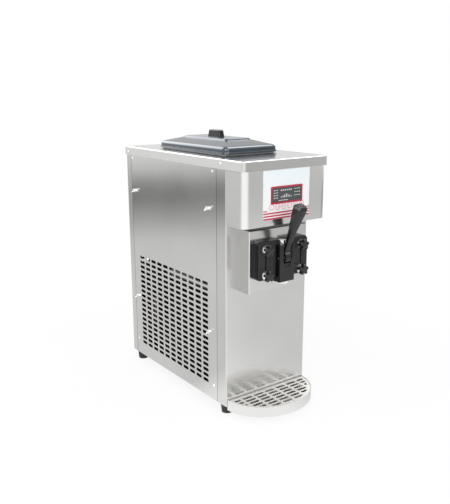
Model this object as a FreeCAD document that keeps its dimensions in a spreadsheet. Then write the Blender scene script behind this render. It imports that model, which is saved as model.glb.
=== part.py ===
import FreeCAD, Part
import math
import operator
import os
from types import SimpleNamespace

import Sketcher

# Countertop soft-serve ice cream maker with one draw valve, built as the pieces it comes apart into.
# Millimetres, +Z up. The machine faces -Y, X runs to the right seen from the front, and the origin is
# on the floor in the middle of the plan. Pieces are drawn with y measured from the lower front panel's
# face, and each Placement carries that face to panel_y.

doc = FreeCAD.newDocument("SoftServeMaker")
V = FreeCAD.Vector

DRIVING = dict(
    # Cabinet
    panel_y=-212.9,
    body_width=300,
    body_depth=560,
    body_height=720,
    foot_height=30,
    foot_radius=19,
    foot_inset_x=23,
    foot_inset_y=27,
    sheet_metal=1.5,
    bend_radius=3,
    front_return=43,
    rear_return=30,
    seam_gap=1.4,
    pan_rim=20,
    vent_length=28,
    vent_width=8.5,
    vent_pitch_y=37.2,
    vent_pitch_z=16.9,
    vent_first_y=103,
    vent_first_z=79.5,
    vent_columns=11,
    vent_rows=19,
    rear_vent_columns=6,
    rear_vent_rows=12,
    rear_vent_from_row=16,
    # Head and top cover
    head_depth=77,
    head_bottom=571,
    head_corner=20,
    head_lip=14,
    skirt_height=27,
    skirt_proud=2.5,
    # Control film
    film_width=166,
    film_bottom=588,
    film_height=135.5,
    film_thick=0.8,
    display_width=109,
    display_bottom=632,
    display_height=45,
    key_radius=8.6,
    key_pitch=21.7,
    key_z=622,
    # Collar, freezing cylinder and drive
    collar_width=208,
    collar_depth=45,
    collar_bottom=376,
    collar_height=180,
    cylinder_z=467,
    barrel_radius=46,
    barrel_wall=2.5,
    barrel_length=260,
    foam_half=85,
    gearbox_half_width=45,
    gearbox_half_height=55,
    gearbox_front=222,
    gearbox_length=78,
    motor_z=300,
    motor_radius=55,
    belt_y=314,
    big_pulley=58,
    small_pulley=29,
    # Dispensing door and draw valve
    door_width=184,
    door_bottom=416,
    door_height=110,
    door_thick=24,
    column_width=57,
    column_depth=41,
    column_bottom=408,
    column_top=514,
    knob_x=64,
    knob_rise=36.3,
    knob_radius=16.3,
    knob_thick=13,
    stud_radius=4,
    spool_reach=62,
    spool_radius=15,
    pivot_reach=80,
    pivot_z=476,
    pin_radius=3,
    lever_arm=22,
    arm_drop=30,
    lever_lean=19.8,
    lever_width=18,
    hub_radius=11,
    hub_tall=15,
    lever_travel=60,
    grip_start=48,
    grip_offset=5,
    nozzle_drop=10,
    # Hopper and lid
    hopper_width=168,
    hopper_length=330,
    hopper_depth=150,
    hopper_mid_y=254,
    hopper_rim=6,
    lid_half_width=97,
    lid_half_length=178,
    feed_y=122,
    # Drip tray
    tray_half_width=146,
    tray_reach=125,
    tray_bottom=20.5,
    tray_height=31,
    grille_slot=9.5,
    grille_pitch=16.5,
    grille_bridge=8,
    grille_bridge_pitch=42.5,
)

sheet = doc.addObject("Spreadsheet::Sheet", "Dims")
for row, (alias, number) in enumerate(DRIVING.items(), 1):
    sheet.set(f"A{row}", alias)
    sheet.set(f"B{row}", str(number))
    sheet.setAlias(f"B{row}", alias)
doc.recompute()


class Size:
    """A length worked out from the driving dimensions: its number and the formula that binds it."""

    def __init__(self, value, text):
        self.value = value
        self.text = text

    def __float__(self):
        return float(self.value)

    def __neg__(self):
        return Size(-self.value, f"(-1 * {self.text})")

    def __add__(self, other):
        return worked_out(self, "+", other)

    def __radd__(self, other):
        return worked_out(other, "+", self)

    def __sub__(self, other):
        return worked_out(self, "-", other)

    def __rsub__(self, other):
        return worked_out(other, "-", self)

    def __mul__(self, other):
        return worked_out(self, "*", other)

    def __rmul__(self, other):
        return worked_out(other, "*", self)

    def __truediv__(self, other):
        return worked_out(self, "/", other)


SIGNS = {"+": operator.add, "-": operator.sub, "*": operator.mul, "/": operator.truediv}


def worked_out(left, sign, right):
    value = SIGNS[sign](float(left), float(right))
    return Size(value, f"({formula(left)} {sign} {formula(right)})")


def formula(size):
    return size.text if isinstance(size, Size) else f"{float(size):.6f}"


d = SimpleNamespace(**{name: Size(number, f"Dims.{name}") for name, number in DRIVING.items()})

# Levels and planes that many pieces share
half_width = d.body_width / 2
top_z = d.foot_height + d.body_height
head_front = -d.head_depth
collar_front = -d.collar_depth
door_front = collar_front - d.door_thick
column_front = collar_front - d.column_depth
barrel_outer = d.barrel_radius + d.barrel_wall
barrel_back = collar_front + d.barrel_length
spool_y = -d.spool_reach
pivot_y = -d.pivot_reach
hopper_floor = top_z - d.hopper_depth
deck_z = d.cylinder_z - d.foam_half
gearbox_back = d.gearbox_front + d.gearbox_length

AXES = {"x": V(1, 0, 0), "y": V(0, 1, 0), "z": V(0, 0, 1)}
TURN_TO_X = (V(0, 1, 0), 90)
TURN_TO_Y = (V(1, 0, 0), -90)
TURN_TO_FRONT = (V(1, 0, 0), 90)
TURN_TO_LEFT = (V(0, 1, 0), -90)
TURN_TO = {"x": TURN_TO_X, "y": TURN_TO_Y, "z": (V(0, 0, 1), 0)}


def bind(item, prop, size):
    item.setExpression(prop, formula(size))


def seat(item, x=0, y=0, z=0, turn=None):
    """Puts an item's own origin at a point, turned about an axis where asked."""
    if turn:
        item.Placement = FreeCAD.Placement(V(), FreeCAD.Rotation(*turn))
    for axis, size in zip("xyz", (x, y, z)):
        bind(item, f"Placement.Base.{axis}", size)
    return item


nodes = []


def finish(item, x=0, y=0, z=0, turn=None):
    """Takes an item as a finished piece and carries it to its place in the machine."""
    seat(item, x, d.panel_y + y, z, turn)
    nodes.append(item)
    return item


# Drawing and feature helpers

def new_body(label):
    return doc.addObject("PartDesign::Body", label)


def origin_part(body, role):
    return next(part for part in body.Origin.OriginFeatures if part.Role == role)


def sketch(body, name, plane="XY_Plane", lift=0, rise=0):
    """A sketch on one of the body's planes, lifted along the plane's normal and raised within it."""
    drawing = body.newObject("Sketcher::SketchObject", f"{body.Name}_{name}")
    drawing.AttachmentSupport = [(origin_part(body, plane), "")]
    drawing.MapMode = "FlatFace"
    bind(drawing, "AttachmentOffset.Base.y", rise)
    bind(drawing, "AttachmentOffset.Base.z", lift)
    return drawing


def hold(drawing, geometry, point, x, y):
    """Holds a sketch point at a place that formulas give."""
    for kind, size, axis in (("DistanceX", x, -2), ("DistanceY", y, -1)):
        if abs(float(size)) < 1e-9:
            drawing.addConstraint(Sketcher.Constraint("PointOnObject", geometry, point, axis))
        else:
            index = drawing.addConstraint(
                Sketcher.Constraint(kind, -1, 1, geometry, point, float(size))
            )
            bind(drawing, f"Constraints[{index}]", size)


def outline(drawing, corners):
    """Draws a closed outline of straight sides through the corners."""
    first = drawing.GeometryCount
    points = [V(float(x), float(y), 0) for x, y in corners]
    for start, end in zip(points, points[1:] + points[:1]):
        drawing.addGeometry(Part.LineSegment(start, end))
    count = len(points)
    for index in range(count):
        follower = first + (index + 1) % count
        drawing.addConstraint(Sketcher.Constraint("Coincident", first + index, 2, follower, 1))
    for index, (x, y) in enumerate(corners):
        hold(drawing, first + index, 1, x, y)
    return drawing


def rectangle(drawing, left, right, low, high):
    return outline(drawing, [(left, low), (right, low), (right, high), (left, high)])


def circle(drawing, x, y, radius):
    index = drawing.addGeometry(Part.Circle(V(float(x), float(y), 0), V(0, 0, 1), float(radius)))
    hold(drawing, index, 3, x, y)
    held = drawing.addConstraint(Sketcher.Constraint("Radius", index, float(radius)))
    bind(drawing, f"Constraints[{held}]", radius)
    return drawing


def add_feature(body, kind, **settings):
    feature = body.newObject(f"PartDesign::{kind}", f"{body.Name}_{kind}")
    for name, value in settings.items():
        setattr(feature, name, value)
    body.Tip = feature
    return feature


def owner(drawing):
    return drawing.getParentGeoFeatureGroup()


def pad(drawing, length, reverse=False):
    feature = add_feature(owner(drawing), "Pad", Profile=drawing, Reversed=reverse)
    bind(feature, "Length", length)
    return feature


def pocket(drawing, depth, reverse=False):
    feature = add_feature(owner(drawing), "Pocket", Profile=drawing, Reversed=reverse)
    bind(feature, "Length", depth)
    return feature


def revolve(drawing, axis="V_Axis", kind="Revolution"):
    return add_feature(
        owner(drawing), kind, Profile=drawing, ReferenceAxis=(drawing, [axis]), Angle=360
    )


def loft(drawings, kind="AdditiveLoft", ruled=False):
    return add_feature(
        owner(drawings[0]), kind, Profile=drawings[0], Sections=drawings[1:], Ruled=ruled
    )


def round_edges(body, radius, wanted, kind="Fillet"):
    """Rounds (or bevels) the edges of a body that a test picks by their geometry."""
    doc.recompute()
    base = body.Tip
    names = [f"Edge{i}" for i, edge in enumerate(base.Shape.Edges, 1) if wanted(edge)]
    feature = add_feature(body, kind, Base=(base, names))
    bind(feature, "Radius" if kind == "Fillet" else "Size", radius)
    return feature


def around(body, original, count):
    return add_feature(
        body,
        "PolarPattern",
        Originals=[original],
        Axis=(origin_part(body, "Z_Axis"), [""]),
        Angle=360,
        Occurrences=count,
    )


def in_rows(body, original, first_axis, first_pitch, first_count, second_axis, pitch, count):
    """Repeats a feature in a grid along two of the body's axes."""
    columns = int(float(first_count))
    rows = int(float(count))
    pattern = add_feature(
        body,
        "LinearPattern",
        Originals=[original],
        Direction=(origin_part(body, first_axis), [""]),
        Direction2=(origin_part(body, second_axis), [""]),
        Occurrences=columns,
        Occurrences2=rows,
    )
    bind(pattern, "Length", first_pitch * (columns - 1))
    bind(pattern, "Length2", pitch * (rows - 1))
    return pattern


# Tests that pick edges by their geometry

def near(left, right):
    return abs(float(left) - float(right)) < 0.02


def is_line_along(edge, axis):
    if edge.Curve.TypeId != "Part::GeomLine":
        return False
    return abs(edge.tangentAt(edge.FirstParameter).dot(AXES[axis])) > 0.999


def upright_at(x, y):
    """Picks vertical edges that stand at plus or minus x, and at y."""

    def wanted(edge):
        middle = edge.CenterOfMass
        return is_line_along(edge, "z") and near(abs(middle.x), x) and near(middle.y, y)

    return wanted


def level_at(z):
    """Picks edges that lie flat at a height."""
    return lambda edge: near(edge.BoundBox.ZMin, z) and near(edge.BoundBox.ZMax, z)


def face_rim_at(y):
    """Picks edges that lie in an upright plane across the machine."""
    return lambda edge: near(edge.BoundBox.YMin, y) and near(edge.BoundBox.YMax, y)


# Primitive and boolean helpers

def box(name, size, at):
    item = doc.addObject("Part::Box", name)
    for prop, length in zip(("Length", "Width", "Height"), size):
        bind(item, prop, length)
    return seat(item, *at)


def cylinder(name, radius, length, at, axis="z"):
    item = doc.addObject("Part::Cylinder", name)
    bind(item, "Radius", radius)
    bind(item, "Height", length)
    return seat(item, *at, turn=TURN_TO[axis])


def cone(name, low_radius, high_radius, length, at, axis="z"):
    item = doc.addObject("Part::Cone", name)
    bind(item, "Radius1", low_radius)
    bind(item, "Radius2", high_radius)
    bind(item, "Height", length)
    return seat(item, *at, turn=TURN_TO[axis])


def cut(name, base, tool):
    item = doc.addObject("Part::Cut", name)
    item.Base = base
    item.Tool = tool
    return item


def fuse(name, *items):
    item = doc.addObject("Part::MultiFuse", name)
    item.Shapes = list(items)
    return item


def common(name, *items):
    item = doc.addObject("Part::MultiCommon", name)
    item.Shapes = list(items)
    return item


def group(name, items):
    item = doc.addObject("Part::Compound", name)
    item.Links = list(items)
    return item


# Cabinet sheets

def open_profile(reach, depth, wall):
    """Plan corners of a sheet folded into a U: its web at depth zero, its returns running to depth."""
    inside = reach - wall
    return [
        (-reach, 0),
        (reach, 0),
        (reach, depth),
        (inside, depth),
        (inside, wall),
        (-inside, wall),
        (-inside, depth),
        (-reach, depth),
    ]


def make_base_pan():
    body = new_body("base_pan")
    inner = half_width - d.sheet_metal
    back = d.body_depth - d.sheet_metal
    plate = sketch(body, "plate", lift=d.foot_height)
    pad(rectangle(plate, -inner, inner, d.sheet_metal, back), d.pan_rim)
    round_edges(body, d.bend_radius, lambda edge: is_line_along(edge, "z"))
    wall = d.sheet_metal * 2
    hollow = sketch(body, "hollow", lift=d.foot_height + d.pan_rim)
    rectangle(hollow, wall - half_width, half_width - wall, wall, d.body_depth - wall)
    pocket(hollow, d.pan_rim - d.sheet_metal)
    finish(body)


def make_front_panel():
    body = new_body("front_panel")
    profile = sketch(body, "profile", lift=d.foot_height)
    outline(profile, open_profile(half_width, d.front_return, d.sheet_metal))
    pad(profile, d.body_height - d.sheet_metal)
    round_edges(body, d.bend_radius, upright_at(half_width, 0))
    round_edges(
        body,
        d.bend_radius - d.sheet_metal,
        upright_at(half_width - d.sheet_metal, d.sheet_metal),
    )
    opening = sketch(body, "opening", "XZ_Plane")
    circle(opening, 0, d.cylinder_z, barrel_outer + 8)
    pocket(opening, d.sheet_metal * 2)
    finish(body)


def make_rear_panel():
    body = new_body("rear_panel")
    profile = sketch(body, "profile", lift=d.foot_height)
    corners = open_profile(half_width, d.rear_return, d.sheet_metal)
    outline(profile, [(x, d.body_depth - depth) for x, depth in corners])
    pad(profile, d.body_height - d.sheet_metal)
    round_edges(body, d.bend_radius, upright_at(half_width, d.body_depth))
    round_edges(
        body,
        d.bend_radius - d.sheet_metal,
        upright_at(half_width - d.sheet_metal, d.body_depth - d.sheet_metal),
    )
    gland = sketch(body, "gland_hole", "XZ_Plane", lift=-d.body_depth)
    circle(gland, 95, 75, 9)
    pocket(gland, d.sheet_metal * 2, reverse=True)
    slot = sketch(body, "slot", "XZ_Plane", lift=-d.body_depth)
    left = d.vent_pitch_y * ((1 - d.rear_vent_columns) / 2) - d.vent_length / 2
    low = d.vent_first_z + d.vent_pitch_z * d.rear_vent_from_row - d.vent_width / 2
    rectangle(slot, left, left + d.vent_length, low, low + d.vent_width)
    first = pocket(slot, d.sheet_metal * 2, reverse=True)
    in_rows(
        body,
        first,
        "X_Axis",
        d.vent_pitch_y,
        d.rear_vent_columns,
        "Z_Axis",
        d.vent_pitch_z,
        d.rear_vent_rows,
    )
    finish(body)


def make_side_panel(label, inner_face):
    """A flat side sheet with its field of cooling slots, drawn on the plane of its left-hand face."""
    body = new_body(label)
    plate = sketch(body, "plate", "YZ_Plane", lift=inner_face)
    front = d.front_return + d.seam_gap
    back = d.body_depth - d.rear_return - d.seam_gap
    rectangle(plate, front, back, d.foot_height, top_z - d.sheet_metal)
    pad(plate, d.sheet_metal)
    slot = sketch(body, "slot", "YZ_Plane", lift=inner_face + d.sheet_metal)
    left = d.vent_first_y - d.vent_length / 2
    low = d.vent_first_z - d.vent_width / 2
    rectangle(slot, left, left + d.vent_length, low, low + d.vent_width)
    first = pocket(slot, d.sheet_metal)
    in_rows(
        body,
        first,
        "Y_Axis",
        d.vent_pitch_y,
        d.vent_columns,
        "Z_Axis",
        d.vent_pitch_z,
        d.vent_rows,
    )
    finish(body)


def make_top_cover():
    body = new_body("top_cover")
    reach = half_width + d.skirt_proud
    front = head_front - d.skirt_proud
    back = d.body_depth + d.skirt_proud
    plan = sketch(body, "plan", lift=top_z - d.skirt_height)
    pad(rectangle(plan, -reach, reach, front, back), d.skirt_height)
    round_edges(body, d.head_corner / 2, upright_at(reach, front))
    round_edges(body, d.bend_radius, level_at(top_z))
    doc.recompute()
    faces = body.Tip.Shape.Faces
    under = next(i for i, f in enumerate(faces, 1) if near(f.BoundBox.ZMax, top_z - d.skirt_height))
    shell = add_feature(body, "Thickness", Base=(body.Tip, [f"Face{under}"]), Reversed=True)
    bind(shell, "Value", d.sheet_metal)
    margin = d.sheet_metal + 0.5
    mouth = sketch(body, "hopper_mouth", lift=top_z)
    wide = d.hopper_width / 2 + margin
    long = d.hopper_length / 2 + margin
    rectangle(mouth, -wide, wide, d.hopper_mid_y - long, d.hopper_mid_y + long)
    pocket(mouth, d.sheet_metal * 2)
    finish(body)


def key_places():
    return [d.key_pitch * (index - 2.5) for index in range(6)]


def make_head_shell():
    body = new_body("head_shell")
    profile = sketch(body, "profile", lift=d.head_bottom)
    corners = open_profile(half_width, d.head_depth, d.sheet_metal)
    outline(profile, [(x, head_front + depth) for x, depth in corners])
    pad(profile, top_z - d.sheet_metal - d.head_bottom)
    lip = sketch(body, "lip", lift=d.head_bottom)
    corners = open_profile(half_width, d.head_depth, d.head_lip)
    outline(lip, [(x, head_front + depth) for x, depth in corners])
    pad(lip, d.sheet_metal)
    round_edges(body, d.head_corner, upright_at(half_width, head_front))
    round_edges(
        body,
        d.head_corner - d.sheet_metal,
        upright_at(half_width - d.sheet_metal, head_front + d.sheet_metal),
    )
    face = sketch(body, "cut_outs", "XZ_Plane", lift=d.head_depth)
    slack = 0.3
    wide = d.display_width / 2 + slack
    low = d.display_bottom - slack
    rectangle(face, -wide, wide, low, d.display_bottom + d.display_height + slack)
    for x in key_places():
        circle(face, x, d.key_z, d.key_radius + slack)
    pocket(face, d.sheet_metal * 2)
    finish(body)


def make_head_floor():
    body = new_body("head_floor")
    plate = sketch(body, "plate", lift=d.head_bottom + d.sheet_metal)
    reach = half_width - d.head_corner
    rectangle(plate, -reach, reach, head_front + d.sheet_metal + 1, -1)
    pad(plate, 2)
    finish(body)


def make_door_collar():
    body = new_body("door_collar")
    reach = d.collar_width / 2
    high = d.collar_bottom + d.collar_height
    block = sketch(body, "block", "XZ_Plane")
    pad(rectangle(block, -reach, reach, d.collar_bottom, high), d.collar_depth)
    round_edges(body, d.bend_radius, face_rim_at(collar_front))
    hollow = sketch(body, "hollow", "XZ_Plane")
    wall = d.sheet_metal
    rectangle(hollow, wall - reach, reach - wall, d.collar_bottom + wall, high - wall)
    pocket(hollow, d.collar_depth - wall, reverse=True)
    holes = sketch(body, "holes", "XZ_Plane", lift=d.collar_depth)
    circle(holes, 0, d.cylinder_z, barrel_outer + 0.3)
    for x, z in knob_places():
        circle(holes, x, z, d.stud_radius + 0.6)
    pocket(holes, wall * 2)
    finish(body)


def make_mid_deck():
    """The shelf that carries the insulated cylinder, with its sides folded down."""
    body = new_body("mid_deck")
    reach = half_width - d.sheet_metal
    wall = d.sheet_metal
    fold = 16
    profile = sketch(body, "profile", "XZ_Plane", lift=-wall - 2)
    outline(
        profile,
        [
            (-reach, deck_z - fold),
            (wall - reach, deck_z - fold),
            (wall - reach, deck_z - wall),
            (reach - wall, deck_z - wall),
            (reach - wall, deck_z - fold),
            (reach, deck_z - fold),
            (reach, deck_z),
            (-reach, deck_z),
        ],
    )
    pad(profile, gearbox_back - wall - 4, reverse=True)
    finish(body)


def make_feet():
    feet = []
    for column in (-1, 1):
        for row, y in (("front", d.foot_inset_y), ("rear", d.body_depth - d.foot_inset_y)):
            name = f"foot_{row}_{'left' if column < 0 else 'right'}"
            x = column * (half_width - d.foot_inset_x)
            feet.append(cone(name, d.foot_radius - 3, d.foot_radius, d.foot_height, (x, y, 0)))
    finish(group("feet", feet))


def make_panel_screws():
    """Low domed heads on both sides: four on each side panel and two on each skirt."""
    head_radius = 3.8
    head_height = 1.8
    panel_spots = [(62, 713), (519, 712), (60, 76), (516, 82)]
    skirt_spots = [(20, 737), (545, 732)]
    heads = []
    for side in (-1, 1):
        turn = (V(0, 1, 0), 90 * side)
        spots = [(y, z, half_width) for y, z in panel_spots]
        spots += [(y, z, half_width + d.skirt_proud) for y, z in skirt_spots]
        for y, z, face in spots:
            head = doc.addObject("Part::Cone", "screw_head")
            head.Radius1 = head_radius
            head.Radius2 = head_radius * 0.6
            head.Height = head_height
            heads.append(seat(head, side * face, y, z, turn))
    finish(group("panel_screws", heads))


def make_wing_screws():
    """Butterfly screws that hold the side panels: a round boss with two upright ears."""
    boss_radius = 5
    boss_height = 7
    ear_long = 11
    ear_high = 6
    ear_thick = 3
    screws = []
    for side in (-1, 1):
        turn = (V(0, 1, 0), 90 * side)
        for y, z in ((82, 607), (506, 607), (81, 239), (507, 241)):
            boss = doc.addObject("Part::Cylinder", "wing_boss")
            boss.Radius = boss_radius
            boss.Height = boss_height
            seat(boss, side * half_width, y, z, turn)
            rim = doc.addObject("Part::Ellipse", "wing_rim")
            rim.MajorRadius = ear_long
            rim.MinorRadius = ear_high
            seat(rim, side * (half_width + boss_height), y, z - ear_thick / 2)
            rim.Placement.Rotation = FreeCAD.Rotation(V(0, 0, 1), 90)
            ears = doc.addObject("Part::Extrusion", "wing_ears")
            ears.Base = rim
            ears.DirMode = "Custom"
            ears.Dir = V(0, 0, 1)
            ears.Solid = True
            ears.LengthFwd = ear_thick
            screws.append(fuse("wing_screw", boss, ears))
    finish(group("wing_screws", screws))


def make_cord_gland():
    body = new_body("cord_gland")
    profile = sketch(body, "profile", "XZ_Plane")
    bore = 4.5
    outline(
        profile,
        [(bore, -12), (8.5, -12), (8.5, 0), (13, 0), (13, 5), (9, 14), (bore, 14)],
    )
    revolve(profile)
    finish(body, 95, d.body_depth, 75, TURN_TO_Y)


# Control film, display and keys

def make_control_film():
    body = new_body("control_overlay")
    film = sketch(body, "film", "XZ_Plane", lift=d.head_depth)
    reach = d.film_width / 2
    rectangle(film, -reach, reach, d.film_bottom, d.film_bottom + d.film_height)
    pad(film, d.film_thick)
    windows = sketch(body, "windows", "XZ_Plane", lift=d.head_depth + d.film_thick)
    wide = d.display_width / 2 + 0.3
    low = d.display_bottom - 0.3
    rectangle(windows, -wide, wide, low, d.display_bottom + d.display_height + 0.3)
    for x in key_places():
        circle(windows, x, d.key_z, d.key_radius + 0.3)
    pocket(windows, d.film_thick)
    finish(body)


def make_display_window():
    body = new_body("display_window")
    lens = sketch(body, "lens", "XZ_Plane", lift=d.head_depth - d.sheet_metal)
    wide = d.display_width / 2
    rectangle(lens, -wide, wide, d.display_bottom, d.display_bottom + d.display_height)
    pad(lens, d.sheet_metal + d.film_thick + 0.4)
    finish(body)


def make_display_board():
    """The board behind the film: its display module and one switch behind each key."""
    body = new_body("display_board")
    back = 68
    board = sketch(body, "board", "XZ_Plane", lift=back)
    reach = d.film_width / 2 - 8
    rectangle(board, -reach, reach, d.film_bottom + 12, d.film_bottom + d.film_height - 30)
    pad(board, 1.6)
    module = sketch(body, "module", "XZ_Plane", lift=back)
    wide = d.display_width / 2 - 2
    high = d.display_bottom + d.display_height
    rectangle(module, -wide, wide, d.display_bottom + 2, high - 2)
    pad(module, d.head_depth - d.sheet_metal - back)
    switches = sketch(body, "switches", "XZ_Plane", lift=back)
    for x in key_places():
        circle(switches, x, d.key_z, 3)
    pad(switches, 7)
    finish(body)


def make_control_board():
    """The power board on the cabinet front inside the head, on its standoffs."""
    body = new_body("control_board")
    gap = 9
    thick = 1.6
    low = d.head_bottom + 30
    high = low + 110
    reach = 95
    board = sketch(body, "board", "XZ_Plane", lift=gap)
    pad(rectangle(board, -reach, reach, low, high), thick)
    posts = sketch(body, "posts", "XZ_Plane")
    for x in (8 - reach, reach - 8):
        for z in (low + 8, high - 8):
            circle(posts, x, z, 3)
    pad(posts, gap)
    transformer = sketch(body, "transformer", "XZ_Plane", lift=gap)
    pad(rectangle(transformer, -75, -30, low + 30, low + 72), 36)
    relays = sketch(body, "relays", "XZ_Plane", lift=gap)
    for index in range(3):
        left = -10 + 27 * index
        rectangle(relays, left, left + 19, low + 60, low + 76)
    pad(relays, 17)
    terminals = sketch(body, "terminals", "XZ_Plane", lift=gap)
    pad(rectangle(terminals, -60, 70, low + 14, low + 24), 12)
    finish(body)


def make_keys():
    for index, x in enumerate(key_places(), 1):
        body = new_body(f"key_{index}")
        back = d.head_depth - d.sheet_metal + 0.7
        disc = sketch(body, "disc", "XZ_Plane", lift=back)
        pad(circle(disc, 0, 0, d.key_radius), d.sheet_metal + d.film_thick - 0.1)
        finish(body, x, 0, d.key_z)


# Hopper and lid

def make_hopper():
    """A drawn pan with rounded corners, a flat rim on the cover and a feed neck into the cylinder."""
    body = new_body("hopper")
    wall = d.sheet_metal
    wide = d.hopper_width / 2 + wall
    long = d.hopper_length / 2 + wall
    middle = d.hopper_mid_y
    pan = sketch(body, "pan", lift=hopper_floor - wall)
    rectangle(pan, -wide, wide, middle - long, middle + long)
    pad(pan, d.hopper_depth + wall + wall)
    round_edges(body, 12, lambda edge: is_line_along(edge, "z"))
    round_edges(body, 8, level_at(hopper_floor - wall))
    doc.recompute()
    faces = body.Tip.Shape.Faces
    mouth = next(i for i, f in enumerate(faces, 1) if near(f.BoundBox.ZMin, top_z + wall))
    shell = add_feature(body, "Thickness", Base=(body.Tip, [f"Face{mouth}"]), Reversed=True)
    bind(shell, "Value", wall)
    rim = sketch(body, "rim", lift=top_z)
    reach = wide + d.hopper_rim
    ends = long + d.hopper_rim
    rectangle(rim, -reach, reach, middle - ends, middle + ends)
    inner = 2
    rectangle(rim, inner - wide, wide - inner, middle - long + inner, middle + long - inner)
    pad(rim, wall)
    neck_radius = 14
    neck = sketch(body, "neck", lift=hopper_floor - wall / 2)
    circle(neck, 0, d.feed_y, neck_radius)
    pad(neck, hopper_floor - wall / 2 - d.cylinder_z - barrel_outer + 1, reverse=True)
    bore = sketch(body, "bore", lift=hopper_floor + wall)
    circle(bore, 0, d.feed_y, neck_radius - 2.5)
    pocket(bore, hopper_floor - d.cylinder_z)
    finish(body)


def make_feed_tube():
    """The loose tube that meters mix and air into the cylinder, standing in the hopper's outlet."""
    body = new_body("feed_tube")
    profile = sketch(body, "profile", "XZ_Plane")
    bore = 6
    high = 130
    outline(
        profile,
        [(bore, -14), (10.5, -14), (10.5, 0.2), (15, 0.2), (15, 5), (9, 9), (9, high), (bore, high)],
    )
    revolve(profile)
    finish(body, 0, d.feed_y, hopper_floor + 0.1)


def lid_rectangle(drawing, wide, long):
    return rectangle(drawing, -wide, wide, d.hopper_mid_y - long, d.hopper_mid_y + long)


def make_hopper_lid():
    """A stepped moulded lid: a flange, a rounded wall, a hipped roof and a raised plateau."""
    body = new_body("hopper_lid")
    bottom = top_z + 3.5
    flange_top = bottom + 4
    shoulder = top_z + 25
    roof_top = top_z + 34
    plateau_top = top_z + 41
    wide = d.lid_half_width
    long = d.lid_half_length
    corner = 14
    soft = 7
    wall_ring = sketch(body, "wall", lift=bottom)
    pad(lid_rectangle(wall_ring, wide, long), shoulder - bottom)
    round_edges(body, corner, lambda edge: is_line_along(edge, "z"))
    round_edges(body, soft, level_at(shoulder))
    flange = sketch(body, "flange", lift=bottom)
    pad(lid_rectangle(flange, wide + 2.5, long + 2.5), flange_top - bottom)
    round_edges(body, corner + 2.5, upright_at(wide + 2.5, d.hopper_mid_y - long - 2.5))
    round_edges(body, corner + 2.5, upright_at(wide + 2.5, d.hopper_mid_y + long + 2.5))
    eaves = sketch(body, "eaves", lift=shoulder)
    lid_rectangle(eaves, wide - soft - 0.5, long - soft - 0.5)
    ridge = sketch(body, "ridge", lift=roof_top)
    lid_rectangle(ridge, wide * 0.5, long * 0.655)
    loft([eaves, ridge], ruled=True)
    plateau = sketch(body, "plateau", lift=roof_top)
    pad(lid_rectangle(plateau, wide * 0.46, long * 0.635), plateau_top - roof_top)
    round_edges(body, 2.5, level_at(plateau_top))
    lip = sketch(body, "lip", lift=bottom)
    lip_wide = d.hopper_width / 2 - 2.5
    lip_long = d.hopper_length / 2 - 2.5
    pad(lid_rectangle(lip, lip_wide, lip_long), 9, reverse=True)
    round_edges(body, corner, lambda edge: is_line_along(edge, "z") and edge.CenterOfMass.z < float(bottom))
    hollow = sketch(body, "hollow", lift=bottom - 9)
    lid_rectangle(hollow, lip_wide - 3, lip_long - 3)
    pocket(hollow, 9 + 18, reverse=True)
    finish(body)


def make_lid_seal():
    body = new_body("lid_seal")
    wall = d.sheet_metal
    ring = sketch(body, "ring", lift=top_z + wall)
    wide = d.hopper_width / 2 + 4
    long = d.hopper_length / 2 + 4
    lid_rectangle(ring, wide, long)
    lid_rectangle(ring, wide - 5, long - 5)
    pad(ring, 2)
    finish(body)


def make_lid_knob():
    """A tapered grip block on the plateau, narrower at the top."""
    body = new_body("lid_knob")
    low = top_z + 41
    high = 21
    foot = sketch(body, "foot", lift=low)
    block = pad(lid_rectangle(foot, 11.5, 30), high)
    block.TaperAngle = -8
    round_edges(body, 4, lambda edge: edge.BoundBox.ZLength > 1)
    round_edges(body, 2, level_at(low + high), "Chamfer")
    finish(body)


# Freezing cylinder and drive

def knob_places():
    return [
        (side * d.knob_x, d.cylinder_z + step * d.knob_rise) for step in (1, -1) for side in (-1, 1)
    ]


def make_freezing_cylinder():
    body = new_body("freezing_cylinder")
    barrel = sketch(body, "barrel", "XZ_Plane", lift=d.collar_depth)
    circle(barrel, 0, d.cylinder_z, barrel_outer)
    pad(barrel, d.barrel_length, reverse=True)
    flange = sketch(body, "flange", "XZ_Plane", lift=d.collar_depth - d.sheet_metal)
    reach = d.knob_x + 14
    rise = d.knob_rise + 14
    rectangle(flange, -reach, reach, d.cylinder_z - rise, d.cylinder_z + rise)
    pad(flange, 8, reverse=True)
    bore = sketch(body, "bore", "XZ_Plane", lift=d.collar_depth)
    circle(bore, 0, d.cylinder_z, d.barrel_radius)
    pocket(bore, d.barrel_length - 4)
    shaft = sketch(body, "shaft_hole", "XZ_Plane", lift=d.collar_depth)
    circle(shaft, 0, d.cylinder_z, 10.3)
    pocket(shaft, d.barrel_length)
    inlet = sketch(body, "inlet", lift=d.cylinder_z + barrel_outer + 1)
    circle(inlet, 0, d.feed_y, 14.3)
    pocket(inlet, 12)
    finish(body)


def make_cylinder_insulation():
    body = new_body("cylinder_insulation")
    front = 6
    back = 208
    half = d.foam_half
    block = sketch(body, "block", "XZ_Plane", lift=-front)
    rectangle(block, -half, half, d.cylinder_z - half, d.cylinder_z + half)
    pad(block, back - front, reverse=True)
    round_edges(body, 14, lambda edge: is_line_along(edge, "y"))
    bore = sketch(body, "bore", "XZ_Plane", lift=-front)
    circle(bore, 0, d.cylinder_z, barrel_outer + 0.4)
    pocket(bore, back - front)
    neck = sketch(body, "neck", lift=d.cylinder_z + half)
    circle(neck, 0, d.feed_y, 14.5)
    pocket(neck, half)
    finish(body)


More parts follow.
